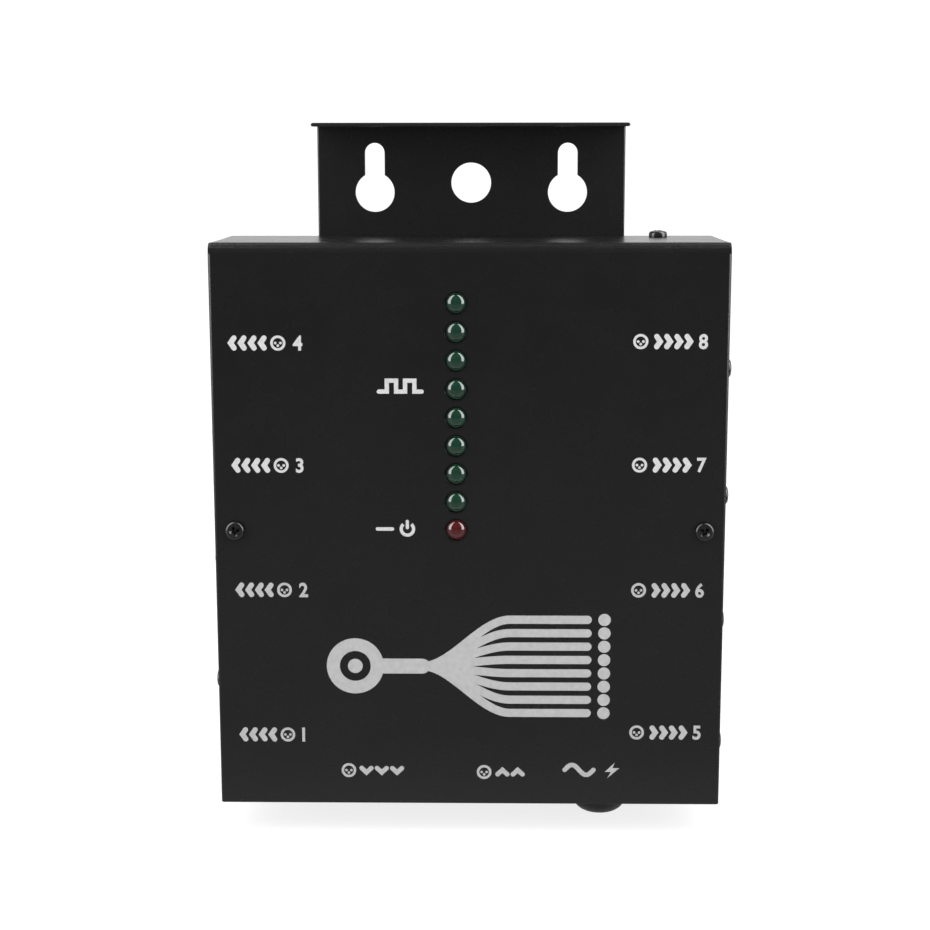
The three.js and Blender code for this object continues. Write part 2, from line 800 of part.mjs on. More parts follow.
function bottomBoard() {
  const margin = flangeWidth / 2 + guideWall;
  const across = [thruOffset - margin, inputOffset + margin];
  const depth = [socketBoardSpan[0], mainBoardFront - fitGap];
  const cuts = [placed(tailHoles(), thruFrame), placed(tailHoles(), inputFrame)];
  const headerDepthSpan = [mainBoardFront - fitGap - headerDepth, mainBoardFront - fitGap];
  const headerBase = bottomBoardSpan[1] - boardThickness / 2;
  const middle = (thruOffset + inputOffset) / 2;
  const headerTop = bottomBoardSpan[1] + headerHeight;
  const header = block(about(middle, headerWidth), headerDepthSpan, [headerBase, headerTop]);
  return block(across, depth, bottomBoardSpan).subtract(joined(cuts)).add(header);
}

addSolid('bottom_socket_board', bottomBoard(), boardGreen);

// Main board with its driver chips, headers and fuse clips
const moduleBottom = -halfHeight + tailEnd + moduleGap;
const moduleSpan = [moduleBottom, lampBoardSpan[0] - moduleTopGap];
const moduleShift = mainBoardHalf * moduleShiftShare;
const moduleWidth = 2 * mainBoardHalf * moduleWidthShare;
const moduleAcross = about(moduleShift, moduleWidth);
const fusePlace = moduleAcross[1] + fuseGap;
const fuseAxis = mainBoardFront - fuseLift - fuseCapDiameter / 2;
const terminalMiddle = mainBoardHalf - mainBoardMargin - terminalWidth / 2;
const terminalBottom = mainBoardSpan[0] + 2 * mainBoardMargin + standoffDiameter;
const fuseBottom = terminalBottom + terminalHeight + fuseGap / 2;
const modulePinPlaces = [];
for (const x of [moduleAcross[0] + modulePinInset, moduleAcross[1] - modulePinInset]) {
  for (const z of [moduleSpan[0] + modulePinInset, moduleSpan[1] - modulePinInset]) {
    modulePinPlaces.push([x, z]);
  }
}
const sideHeaderAcross = mainBoardHalf - headerInset - headerDepth / 2;
const chipPitch = (mainBoardSpan[1] - chipTopMargin) / outputsPerSide;
const chipPlace = mainBoardHalf * chipPlaceShare;

function mainBoard() {
  const inside = mainBoardFront + boardThickness / 2;
  const headerSpan = [mainBoardFront - headerHeight, inside];
  const parts = [block(about(0, 2 * mainBoardHalf), [mainBoardFront, mainBoardRear], mainBoardSpan)];
  for (let row = 0; row < outputsPerSide; row += 1) {
    const z = (row + 1) * chipPitch;
    for (const x of [-chipPlace, chipPlace]) {
      parts.push(block(about(x, chipWidth), [mainBoardFront - chipHeight, inside], about(z, chipLength)));
    }
  }
  for (const x of [-sideHeaderAcross, sideHeaderAcross]) {
    parts.push(block(about(x, headerDepth), headerSpan, about(outputColumnHeight, headerWidth)));
  }
  const lampHeaderSpan = about(lampRibbonHeight - lampRibbonDrop, lampHeaderDepth);
  parts.push(block(about(lampColumnOffset, lampHeaderWidth), headerSpan, lampHeaderSpan));
  for (const z of [fuseBottom, fuseBottom + fuseLength - fuseCapLength]) {
    parts.push(block(about(fusePlace, clipWidth), [fuseAxis, inside], [z, z + fuseCapLength]));
  }
  const cuts = [];
  const pegHole = rod(pegDiameter + 2 * fitGap, about(0, 2 * cutOverrun + 2 * boardThickness), smallSides);
  for (const [x, z] of standoffPlaces) {
    cuts.push(placed(pegHole, frameAt([x, mainBoardFront, z], forward, up)));
  }
  for (const z of spacerPlaces) {
    cuts.push(placed(pegHole, frameAt([lampColumnOffset, mainBoardFront, z], forward, up)));
  }
  const through = [mainBoardFront - cutOverrun, mainBoardRear + cutOverrun];
  for (const [x, z] of modulePinPlaces) {
    cuts.push(block(about(x, modulePin + 2 * fitGap), through, about(z, modulePin + 2 * fitGap)));
  }
  const fuseRoom = [fuseBottom - cutOverrun, fuseBottom + fuseLength + cutOverrun];
  cuts.push(rod(fuseCapDiameter + 2 * fitGap, fuseRoom, lampSides).translate(fusePlace, fuseAxis, 0));
  return joined(parts).subtract(joined(cuts));
}

addSolid('main_board', mainBoard(), boardGreen);

// Sealed power module, seated on four pins
function powerModule() {
  const x = moduleWidth / 2;
  const z = (moduleSpan[1] - moduleSpan[0]) / 2;
  const r = moduleCorner;
  const outline = new THREE.Shape();
  outline.moveTo(-x + r, -z);
  outline.lineTo(x - r, -z);
  outline.lineTo(x, -z + r);
  outline.lineTo(x, z - r);
  outline.lineTo(x - r, z);
  outline.lineTo(-x + r, z);
  outline.lineTo(-x, z - r);
  outline.lineTo(-x, -z + r);
  outline.lineTo(-x + r, -z);
  const middle = (moduleSpan[0] + moduleSpan[1]) / 2;
  const frame = frameAt([moduleShift, mainBoardFront - fitGap, middle], forward, up);
  const brick = placed(extruded(outline, [0, moduleDepth]), frame);
  const pinDepth = [mainBoardFront - fitGap - modulePin, mainBoardRear + pegProud];
  const pins = modulePinPlaces.map(([px, pz]) => block(about(px, modulePin), pinDepth, about(pz, modulePin)));
  return joined([brick, ...pins]);
}

addSolid('power_module', powerModule(), blackPlastic);

function fuse() {
  const tube = rod(fuseDiameter, [fuseBottom, fuseBottom + fuseLength], lampSides);
  const caps = [fuseBottom, fuseBottom + fuseLength - fuseCapLength].map((z) => (
    rod(fuseCapDiameter, [z, z + fuseCapLength], lampSides)
  ));
  return joined([tube, ...caps]).translate(fusePlace, fuseAxis, 0);
}

addSolid('fuse', fuse(), glassTube);

function terminalBlock() {
  const low = mainBoardFront - fitGap - terminalDepth;
  const high = mainBoardFront - fitGap;
  const step = low + terminalDepth - terminalStep;
  const top = terminalBottom + terminalHeight;
  const body = block(about(terminalMiddle, terminalWidth), [low, high], [terminalBottom, top]);
  const ledge = block(
    about(terminalMiddle, terminalWidth + 2 * cutOverrun),
    [low - cutOverrun, step],
    [top - terminalHeight * terminalLedgeShare, top + cutOverrun],
  );
  const pitch = terminalWidth / terminalWays;
  const entries = [];
  for (let i = 0; i < terminalWays; i += 1) {
    const x = terminalMiddle + (i - (terminalWays - 1) / 2) * pitch;
    const depth = [terminalBottom - cutOverrun, terminalBottom + terminalEntryDepth];
    const y = (low + high) / 2;
    entries.push(block(about(x, terminalEntry), about(y, terminalEntry), depth));
  }
  return body.subtract(joined([ledge, ...entries]));
}

addSolid('terminal_block', terminalBlock(), terminalGreen);

// Ribbon cables: flat strips bent between two headers
function strip(points, thickness) {
  const half = thickness / 2;
  const sides = [-half, half].map((shift) => points.map(([a, b], i) => {
    const [a0, b0] = points[Math.max(i - 1, 0)];
    const [a1, b1] = points[Math.min(i + 1, points.length - 1)];
    const length = Math.hypot(a1 - a0, b1 - b0);
    return new THREE.Vector2(a - shift * (b1 - b0) / length, b + shift * (a1 - a0) / length);
  }));
  return new THREE.Shape([...sides[0], ...sides[1].reverse()]);
}

function sideRibbon(side) {
  const start = halfWidth - shellDepth - fitGap - boardThickness - headerHeight - fitGap;
  const end = mainBoardFront - headerHeight - fitGap;
  const centre = sideHeaderAcross + ribbonBend;
  const points = [[start, ribbonLevel]];
  const steps = domeSteps + 1;
  for (let i = 0; i <= steps; i += 1) {
    const turn = (i / steps) * Math.PI / 2;
    points.push([centre - ribbonBend * Math.sin(turn), ribbonLevel + ribbonBend * (1 - Math.cos(turn))]);
  }
  points.push([sideHeaderAcross, end]);
  const mirrored = points.map(([x, y]) => [side * x, y]);
  return extruded(strip(mirrored, ribbonThickness), about(outputColumnHeight, ribbonWidth));
}

addSolid('left_ribbon', sideRibbon(-1), greyRibbon);
addSolid('right_ribbon', sideRibbon(1), greyRibbon);

function lampRibbon() {
  const start = lampBoardRear + headerHeight + fitGap;
  const end = mainBoardFront - headerHeight - fitGap;
  const points = [];
  const steps = 2 * domeSteps;
  for (let i = 0; i <= steps; i += 1) {
    const share = i / steps;
    const drop = lampRibbonDrop * (1 - Math.cos(share * Math.PI)) / 2;
    points.push([start + (end - start) * share, lampRibbonHeight - drop]);
  }
  const across = about(lampColumnOffset, lampRibbonWidth);
  return placed(extruded(strip(points, ribbonThickness), across), sideways);
}

addSolid('lamp_ribbon', lampRibbon(), greyRibbon);

// Cable gland, drawn with the outer face of the bottom at local zero and pointing out along Z
const glandPlace = new THREE.Group();
glandPlace.applyMatrix4(glandFrame);
splitter.add(glandPlace);
const glandRadius = glandBodyDiameter / 2;
const boreRadius = glandBore / 2;
const collarTop = fitGap + glandCollar;
const spigotTop = collarTop + glandSpigotLength;
const nutBottom = collarTop + fitGap;
const nutTop = nutBottom + glandNutHeight;

function glandBody() {
  const threadRadius = glandThread / 2;
  const threadEnd = -glandThreadLength;
  const spigotRadius = glandSpigot / 2;
  return turned([
    [boreRadius, threadEnd],
    [threadRadius, threadEnd],
    [threadRadius, fitGap],
    [glandRadius, fitGap],
    [glandRadius, collarTop],
    [spigotRadius, collarTop],
    [spigotRadius, spigotTop],
    [boreRadius, spigotTop],
    [boreRadius, threadEnd],
  ], roundSides);
}

function glandNut() {
  const cavityRadius = glandSpigot / 2 + fitGap;
  const cavityTop = nutTop - glandNutWall;
  const domeMiddle = glandRadius - glandDome;
  const domeBase = nutTop - glandDome;
  const outer = [[cavityRadius, nutBottom], [glandRadius, nutBottom]];
  const steps = domeSteps + 1;
  const lastTurn = Math.acos((boreRadius - domeMiddle) / glandDome);
  for (let i = 0; i <= steps; i += 1) {
    const turn = lastTurn * i / steps;
    outer.push([domeMiddle + glandDome * Math.cos(turn), domeBase + glandDome * Math.sin(turn)]);
  }
  const inner = [[boreRadius, cavityTop], [cavityRadius, cavityTop], [cavityRadius, nutBottom]];
  return turned([...outer, ...inner], roundSides);
}

function glandSeal() {
  const outer = glandSpigot / 2;
  const low = spigotTop + fitGap;
  const high = low + sealThickness;
  return turned([
    [boreRadius, low],
    [outer, low],
    [outer, high],
    [boreRadius, high],
    [boreRadius, low],
  ], lampSides);
}

function glandLocknut() {
  const high = -chassisSheet - fitGap;
  const low = high - locknutThickness;
  const hole = rod(glandThread + 2 * fitGap, [low - cutOverrun, high + cutOverrun], roundSides);
  return hexRod(locknutFlats, [low, high]).subtract(hole);
}

addSolid('gland_body', glandBody(), blackPlastic, glandPlace);
addSolid('gland_nut', glandNut(), blackPlastic, glandPlace);
addSolid('gland_seal', glandSeal(), rubber, glandPlace);
addSolid('gland_locknut', glandLocknut(), blackPlastic, glandPlace);

export default splitter;
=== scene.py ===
from math import acos, asin, atan2, cos, degrees, pi, radians, sin, tan

import bmesh
import bpy
from mathutils import Matrix, Vector


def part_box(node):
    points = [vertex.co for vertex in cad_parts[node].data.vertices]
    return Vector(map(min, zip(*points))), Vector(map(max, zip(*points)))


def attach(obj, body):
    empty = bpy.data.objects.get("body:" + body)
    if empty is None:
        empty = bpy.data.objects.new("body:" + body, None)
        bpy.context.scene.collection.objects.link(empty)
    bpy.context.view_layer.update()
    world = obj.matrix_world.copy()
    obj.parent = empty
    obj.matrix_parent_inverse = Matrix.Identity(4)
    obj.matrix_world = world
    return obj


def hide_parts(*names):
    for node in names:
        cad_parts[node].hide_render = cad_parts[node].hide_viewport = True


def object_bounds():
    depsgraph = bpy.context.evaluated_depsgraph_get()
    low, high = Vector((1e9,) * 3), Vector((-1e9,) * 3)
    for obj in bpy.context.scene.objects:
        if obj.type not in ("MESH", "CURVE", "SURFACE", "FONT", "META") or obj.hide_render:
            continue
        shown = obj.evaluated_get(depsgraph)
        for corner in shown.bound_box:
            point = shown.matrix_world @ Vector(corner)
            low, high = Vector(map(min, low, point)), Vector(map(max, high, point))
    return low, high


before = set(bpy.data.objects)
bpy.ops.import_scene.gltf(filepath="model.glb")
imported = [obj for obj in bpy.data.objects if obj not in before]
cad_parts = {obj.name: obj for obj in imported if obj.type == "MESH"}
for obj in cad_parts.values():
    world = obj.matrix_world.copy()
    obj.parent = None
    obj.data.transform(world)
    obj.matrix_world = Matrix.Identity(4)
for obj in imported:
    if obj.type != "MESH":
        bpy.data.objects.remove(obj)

cad_low, cad_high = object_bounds()
MM = 0.001
SIDES = (-1, 1)
LEFT, RIGHT = Vector((-1, 0, 0)), Vector((1, 0, 0))
FORWARD, BACK = Vector((0, -1, 0)), Vector((0, 1, 0))
DOWN, UP = Vector((0, 0, -1)), Vector((0, 0, 1))

# Which of across, up and along a prism each axis takes
ALONG_X = (2, 0, 1)
ALONG_Y = (0, 2, 1)
ALONG_Z = (0, 1, 2)

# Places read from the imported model
cover_low, cover_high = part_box("front_cover")
FRONT = cover_low.y
HALF_WIDTH = cover_high.x
HALF_HEIGHT = cover_high.z
COVER_BACK = cover_high.y
TAB_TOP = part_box("rear_chassis")[1].z
LIP_FRONT = -21 * MM
SOCKET_Y = FRONT / 2

# Sheet metal
CHASSIS_SHEET = 1.5 * MM
LIP_SHEET = 1 * MM
LIP_DROP = 0.03 * MM
LIP_EDGE = 1.15 * MM
LIP_INNER_BEND = 0.3 * MM
COVER_SHEET = 1.2 * MM
COVER_BEND = 2.6 * MM
COVER_SIDE_ROUND = 0.95 * MM
BEND_RADIUS = 1.8 * MM
FIT_GAP = 0.3 * MM
COVER_EDGE_ROUND = 0.12 * MM
PLATE_STEP = 0.9 * MM
SEAM_WIDTH = 0.25 * MM
SEAM_DEPTH = 0.9 * MM
OVERRUN = 1 * MM
HOLE_REACH = 5 * MM
TUCK = 0.02 * MM
WALL_FRONT = FRONT + COVER_SHEET + FIT_GAP
WALL_TOP = HALF_HEIGHT - COVER_SHEET - FIT_GAP

# The widest rounding of the chassis, and the shares of it that its edges get
CHASSIS_EDGE_ROUND = 0.68 * MM
CASE_EDGE_SHARE = 0.55
LIP_EDGE_SHARE = 0.66
LIP_FOOT_SHARE = 0.18
HOLE_EDGE_SHARE = 0.3

# Hanging tab
TAB_WIDTH = 94.8 * MM
KEYHOLE_SPACING = 59.4 * MM
KEYHOLE_DIAMETER = 12 * MM
KEYHOLE_SLOT_WIDTH = 6 * MM
KEYHOLE_SLOT_LENGTH = 12 * MM
KEYHOLE_HEIGHT = 13.3 * MM
CLAMP_HOLE_DIAMETER = 12.2 * MM
CLAMP_HOLE_HEIGHT = 16.2 * MM

# Lamps
LAMP_COUNT = 9
LAMP_X = -3.8 * MM
LOWEST_LAMP = 0.3 * MM
LAMP_PITCH = 8.32 * MM
LAMP_DIAMETER = 4.9 * MM
LAMP_SHOULDER = 0.5 * MM
LAMP_LENGTH = 8.6 * MM
LAMP_RIM_DIAMETER = 5.9 * MM
LAMP_RIM = 7.05 * MM
LAMP_PROUD = 1.3 * MM
LAMP_HOLE_DIAMETER = 6.1 * MM
LAMP_HOLE_EDGE = 0.35 * MM
LAMP_HOLE_SHIFT = (-0.07 * MM, -0.14 * MM)
LENS_CURVE = 3.3 * MM
LEG_WIDTH = 0.5 * MM
LEG_SPACING = 2.54 * MM
LEG_LENGTH = 3.5 * MM
LEG_ROUND = 0.08 * MM

# Screws
HEAD_DIAMETER = 5.6 * MM
HEAD_HEIGHT = 1.8 * MM
HEAD_SEAT = 0.02 * MM
HEAD_SHOULDER = 0.95 * MM
HEAD_CROWN = 0.3 * MM
HEAD_RIM = 0.12 * MM
RECESS_LENGTH = 3 * MM
RECESS_WIDTH = 0.8 * MM
RECESS_TIP = 0.5 * MM
RECESS_SHARE = 0.74
SHANK_DIAMETER = 2.9 * MM
SCREW_PITCH = 0.5 * MM
SCREW_LENGTH = 6 * MM
FRONT_SCREW_X = 68.9 * MM
TOP_SCREW = Vector((57 * MM, -10 * MM, HALF_HEIGHT))
SCREW_HOLE = 3.5 * MM
LUG_HEIGHT = 14 * MM
LUG_WIDTH = 12 * MM

# Connectors, in their own frame: Z out of the wall, Y towards the latch
NOSE_DIAMETER = 23.4 * MM
NOSE_PROUD = 0.5 * MM
SOCKET_BORE = 19.4 * MM
PLUG_BORE = 16.2 * MM
BORE_DEPTH = 18 * MM
SHELL_DEPTH = 22 * MM
SHELL_ROUND = 0.35 * MM
SHELL_EDGE_ROUND = 0.12 * MM
FLOOR_HOLE = 13 * MM
FLANGE_WIDTH = 26 * MM
FLANGE_LENGTH = 31 * MM
FLANGE_CORNER = 3 * MM
FLANGE_TOP = -1.8 * MM
FLANGE_THICKNESS = 2 * MM
FLANGE_SCREWS = ((-9.5 * MM, 12 * MM), (9.5 * MM, -12 * MM))
FLANGE_SCREW_TURNS = (24, 61)
FLANGE_SCREW_LENGTH = 3 * MM
HEAD_HEIGHTS = (1.4 * MM, HEAD_HEIGHT)
HIGH_SCREWS = ("output_1", "output_7", "output_8")
INSERT_DIAMETER = 15.6 * MM
INSERT_RECESS = 1.1 * MM
INSERT_ROUND = 0.4 * MM
INSERT_EDGE_ROUND = 0.1 * MM
CONTACT_RADIUS = 3.8 * MM
CONTACT_TURNS = (0, 180, 270)
CONTACT_HOLE = 2.6 * MM
CONTACT_DEPTH = 10 * MM
FUNNEL_SPREAD = 0.45 * MM
FUNNEL_DEPTH = 0.4 * MM
FUNNEL_OVERRUN = 0.05 * MM
SLEEVE_INSETS = (0.03 * MM, 0.38 * MM)
SLEEVE_TOP = 0.9 * MM
SLEEVE_FOOT = 0.1 * MM
SLEEVE_ROUND = 0.1 * MM
KEY_WIDTH = 2.4 * MM
KEY_DEPTH = 1.4 * MM
PLUG_FACE = -14 * MM
PIN_DIAMETER = 2.4 * MM
PIN_RECESS = 2.5 * MM
TAIL_WIDTH = 1 * MM
TAIL_END = 26 * MM
LATCH_WIDTH = 7 * MM
LATCH_THICKNESS = 3.4 * MM
LATCH_PLACE = 11.7 * MM
LATCH_PROUD = 1.6 * MM
LATCH_LENGTH = 9.2 * MM
LATCH_TRAVEL = 1.5 * MM
LATCH_INSET = 0.05 * MM
LATCH_SLOPE = 1 * MM
LATCH_EDGE_ROUND = 0.09 * MM
LATCH_RIBS = 3
RIB_DEPTH = 0.22 * MM
GUIDE_WALL = 1.2 * MM
GUIDE_INSET = 0.5 * MM
HOOK_REACH = 0.8 * MM
HOOK_DEPTH = 5 * MM
HOOK_THICKNESS = 1.5 * MM
OUTPUT_PITCH = 38 * MM
OUTPUT_MIDDLE = -0.7 * MM
OUTPUTS_PER_SIDE = 4
THRU_X = -28.6 * MM
INPUT_X = 10 * MM

# Boards: the axis across each sheet and the way that its parts stand
BOARD_SHEET = 1.6 * MM
BOARD_MARGIN = 0.05 * MM
BOARD_PARTS = {
    "lamp_board": (1, 1),
    "main_board": (1, -1),
    "left_socket_board": (0, 1),
    "right_socket_board": (0, -1),
    "bottom_socket_board": (2, 1),
}
CLIP_REACH = 2 * MM

# Cable gland, in a frame like a connector's
GLAND_X = 40.3 * MM
GLAND_RADIUS = 8.5 * MM
GLAND_FLAT_SHARE = 0.93
GLAND_COLLAR = 2.6 * MM
GLAND_THREAD = 12 * MM
GLAND_THREAD_LENGTH = 9 * MM
GLAND_THREAD_START = 0.6 * MM
GLAND_THREAD_DEPTH = 0.55 * MM
GLAND_PITCH = 1.5 * MM
GLAND_CHAMFER = 0.5 * MM
GLAND_ROUND = 0.25 * MM
GLAND_SPIGOT = 11.4 * MM
GLAND_SPIGOT_LENGTH = 3.5 * MM
COLLAR_TOP = FIT_GAP + GLAND_COLLAR
SPIGOT_TOP = COLLAR_TOP + GLAND_SPIGOT_LENGTH
GLAND_BORE = 8 * MM
GLAND_NUT_HEIGHT = 6.65 * MM
GLAND_DOME = 5 * MM
GLAND_NUT_WALL = 1.5 * MM
NUT_CHAMFER = 0.3 * MM
NUT_LIP = ((0.15 * MM, 0.12 * MM), (0, 0.4 * MM))
FLUTE_COUNT = 16
FLUTE_DEPTH = 0.38 * MM
FLUTE_LENGTH = 1.2 * MM
FLUTE_FADE = 2.6 * MM
SEAL_THICKNESS = 1 * MM
SEAL_ROUND = 0.3 * MM
LOCKNUT_FLATS = 17 * MM
LOCKNUT_THICKNESS = 4 * MM
LOCKNUT_ROUND = 0.5 * MM

# Printing on the front. Places without MM are in millimetres. Arrow heads in a row have a pitch,
# a height and a width of line, and outputs also their count.
INK_PROUD = 0.03 * MM
INK_SUNK = 0.05 * MM
INK_STEP = 0.002 * MM
MARK_HEIGHT = 4.4 * MM
NUMBER_STEP = 18.9 * MM
NUMBER_WIDTH_SHARE = 0.92
NUMBER_BOLDNESS = 0.03
SIGN_BORE_SHARE = 0.66
SIGN_DOTS_SHARE = 0.34
SIGN_DOT_SHARE = 0.18
CHEVRON_SHARE = 0.34
CHEVRON_SPREAD = 0.36
# The upper output marks get the lighter tone of the one print ink: painted light, as more light falls near
# the top
OUTPUTS_WITH_PAINTED_LIGHT = (3, 4, 7, 8)
OUTPUT_MARKS = {
    4: (-69.9, 55.3), 3: (-69.6, 19.4), 2: (-69.3, -18.0), 1: (-69.1, -62.6),
    8: (47.2, 55.8), 7: (47.4, 19.7), 6: (47.7, -17.8), 5: (47.8, -61.5),
}
OUTPUT_MARK_STEPS = {"left": (14.6 * MM, 1.4 * MM), "right": (MARK_HEIGHT / 2, 7.3 * MM)}
OUTPUT_CHEVRONS = (4, 2.9 * MM, 2.9 * MM, 1.55 * MM)
BOTTOM_CHEVRONS = (4.6 * MM, 4 * MM, 1.4 * MM)
BOTTOM_MARKS = (
    ("mark_thru", -36.3, -31.0, -73.7, "down", 3),
    ("mark_input", 4.4, 9.9, -74.1, "up", 2),
)
FLASH = ((43.6, -71.0), (40.6, -73.9), (42.5, -73.9), (41.3, -75.9), (45.0, -72.7), (42.9, -72.7))
WAVE_START = (28.6, -73.3)
WAVE_LENGTH = 8.6
WAVE_HEIGHT = 1.55
WAVE_LINE = 1.4 * MM
WAVE_STEPS = 32
PULSE_LINE = 1.25 * MM
PULSE_LEVELS = (41.2, 44.4)
PULSE = (
    (-26.2, 0), (-23.9, 0), (-23.9, 1), (-21.2, 1), (-21.2, 0),
    (-18.6, 0), (-18.6, 1), (-15.9, 1), (-15.9, 0), (-13.8, 0),
)
SWITCH_RING = (-18.2 * MM, 0.5 * MM, 2.3 * MM, 1.35 * MM)
SWITCH_TURNS = (130, 410)
SWITCH_BAR = ((-18.2 * MM, 0.9 * MM), (-18.2 * MM, 2.8 * MM))
SWITCH_LINE = 0.95 * MM
POWER_DASH = ((-27.0 * MM, 0.5 * MM), (-22.6 * MM, 0.5 * MM))
DASH_LINE = 1.05 * MM
SOURCE_X = -34 * MM
SOURCE_RING = (8.5 * MM, 4.6 * MM)
SOURCE_DOT = 2.2 * MM
STEM_START = -26.6 * MM
STEM_LINE = 4.6 * MM
BRANCHES = 8
BRANCH_MIDDLE = -41.2
BRANCH_PITCH = 4.1
BRANCH_START = -14
BRANCH_SPREAD = 26
BRANCH_STEPS = 24
BRANCH_END = 35 * MM
BRANCH_LINE = 2.5 * MM
BRANCH_DOT_X = 40 * MM
BRANCH_DOT = 1.85 * MM

# How finely round things are divided, and what counts as near
BEND_STEPS = 12
HOLE_SIDES = 64
BODY_SIDES = 72
HEAD_SIDES = 40
LENS_SIDES = 48
GLAND_SIDES = 144
NUT_SIDES = 192
SMALL_SIDES = 32
DOME_RINGS = 14
SHARP_ANGLE = radians(38)
SOFTENED_ANGLE = radians(40)
NEARLY_STRAIGHT = radians(175)
ROUND_SHARE = 0.45
MERGE = 1e-7
ON_AXIS = 1e-9
NEAR = 1e-6

# Surfaces: scale and detail of the colour noise, scale of the roughness noise,
# scale, depth and strength of the grain, metallic, specular
SURFACES = {
    "coat": (40, 3, 160, 1500, 0.02 * MM, 0.35, 0, 0.3),
    "zinc": (900, 3, 1500, 6000, 0.01 * MM, 0.15, 0, 0.45),
    "connector": (300, 3, 900, 2600, 0.02 * MM, 0.35, 0.2, 0.4),
    "moulded": (250, 3, 800, 3000, 0.015 * MM, 0.3, 0, 0.35),
    "plated": (700, 3, 1800, 5000, 0.008 * MM, 0.25, 1, 0.5),
    "lens": (500, 3, 900, None, None, None, 0, 0.65),
    "ink": (700, 5, 1200, 4000, 0.006 * MM, 0.3, 0, 0.3),
    "board": (200, 3, 900, 1400, 0.02 * MM, 0.3, 0, 0.5),
}
NOISE_REACH = (0.3, 0.7)
LENS_SCATTER = {"Subsurface Weight": 0.25, "Subsurface Radius": (1, 1, 1), "Subsurface Scale": 0.8 * MM}

# Looks: surface, darkest and lightest colour, least and most roughness, and a grain of their own
LOOKS = {
    "black_coat": ("coat", 0.0083, 0.0095, (0.255, 0.285)),
    # The chassis has the same black coat as the cover, painted lighter: painted light on the tab that lies
    # in the lip's shade
    "chassis_coat_painted_light": ("coat", 0.0115, 0.0130, (0.255, 0.285)),
    "black_screw": ("zinc", 0.005, (0.012, 0.0115, 0.011), (0.14, 0.24)),
    "connector_black": ("connector", (0.011, 0.011, 0.012), (0.017, 0.017, 0.018), (0.36, 0.5)),
    "black_plastic": ("moulded", 0.010, (0.015, 0.015, 0.016), (0.39, 0.53)),
    "gland_plastic": ("moulded", 0.006, 0.010, (0.44, 0.58), 2200),
    "seal_rubber": ("moulded", 0.011, 0.018, (0.69, 0.83), 1800),
    "latch_metal": ("plated", (0.10, 0.10, 0.105), (0.16, 0.16, 0.165), (0.23, 0.4)),
    "nickel": ("plated", (0.50, 0.49, 0.46), (0.60, 0.58, 0.55), (0.21, 0.38)),
    "contact_gold": ("plated", (0.75, 0.52, 0.20), (0.85, 0.62, 0.27), (0.18, 0.35)),
    "tinned_legs": ("plated", (0.55, 0.55, 0.56), (0.68, 0.68, 0.69), (0.23, 0.4)),
    "green_lens": ("lens", (0.001, 0.030, 0.013), (0.002, 0.038, 0.017), (0.03, 0.05)),
    "red_lens": ("lens", (0.065, 0.001, 0.002), (0.085, 0.002, 0.004), (0.03, 0.05)),
    # One print ink in two tones: the lighter is painted light for marks near the top, the darker painted
    # shade for marks lower down
    "ink_painted_lit": ("ink", 0.59, 0.67, (0.42, 0.58)),
    "ink_painted_shaded": ("ink", 0.46, 0.53, (0.42, 0.58)),
    "board": ("board", (0.016, 0.10, 0.045), (0.026, 0.14, 0.06), (0.32, 0.48)),
    "terminal_green": ("moulded", (0.03, 0.20, 0.09), (0.05, 0.26, 0.12), (0.34, 0.48)),
    "fuse_glass": ("moulded", (0.50, 0.54, 0.54), (0.60, 0.64, 0.64), (0.08, 0.22)),
    "ribbon": ("moulded", (0.22, 0.23, 0.24), (0.28, 0.29, 0.30), (0.54, 0.68)),
}
INNER_LOOKS = {
    "lamp_board_spacer_lower": "nickel",
    "lamp_board_spacer_upper": "nickel",
    "power_module": "black_plastic",
    "fuse": "fuse_glass",
    "terminal_block": "terminal_green",
    "left_ribbon": "ribbon",
    "right_ribbon": "ribbon",
    "lamp_ribbon": "ribbon",
}

# Paper floor and backdrop, world and the two leaning softboxes
PAPER_COLOUR = 0.3
PAPER_GLOW_NEAR = 0.81
PAPER_GLOW_FAR = 1.0
PAPER_GLOW_REACH = (0.25, 1.5)
PAPER_FRONT_SHARE = 0.0
PAPER_FRONT_REACH = (-0.13, 0.0)
PAPER_SIZE = 30
FLOOR_DROP = 0.2 * MM
BACKDROP_Y = 3
WORLD_FILL = 0.25
PANEL_CENTRE = Vector((0.68, -0.2, 0.41))
PANEL_ALONG = Vector((0.491, 0.87, -0.043))
PANEL_UPWARD = Vector((-0.451, 0.297, 0.842))
PANEL_SIZE = (1.13, 1.54)
PANEL_RADIANCE = 2.8
SHINE_RADIANCE = {"left": 8, "right": 9}
SHINE_SIZE = 0.48
SHINE_STEP = 0.02

# The photograph's camera
IMAGE_SIZE = 930
FOCAL_PIXELS = 1805.15
HALF_PIXEL = 0.5
SENSOR_WIDTH = 36
CAMERA_PLACE = Vector((7.59 * MM, -564.75 * MM, 110.71 * MM))
CAMERA_YAW = -0.01676
CAMERA_PITCH = 0.17406
CAMERA_ROLL = -0.00105


# Meshes
def new_object(name, mesh):
    obj = bpy.data.objects.new(name, mesh)
    bpy.context.scene.collection.objects.link(obj)
    return obj


def made(bm, name="shape", matrix=None):
    """The object of a finished mesh, with its faces turned outward."""
    bmesh.ops.remove_doubles(bm, verts=bm.verts, dist=MERGE)
    bmesh.ops.recalc_face_normals(bm, faces=bm.faces)
    mesh = bpy.data.meshes.new(name)
    bm.to_mesh(mesh)
    bm.free()
    obj = new_object(name, mesh)
    if matrix is not None:
        obj.matrix_world = matrix
    return obj


def drop(*objects):
    for obj in objects:
        bpy.data.objects.remove(obj)


def arc(centre, radius, start, end, steps):
    """Points along an arc in a plane, with its angles in degrees."""
    turns = [radians(start + (end - start) * i / steps) for i in range(steps + 1)]
    return [(centre[0] + radius * cos(turn), centre[1] + radius * sin(turn)) for turn in turns]


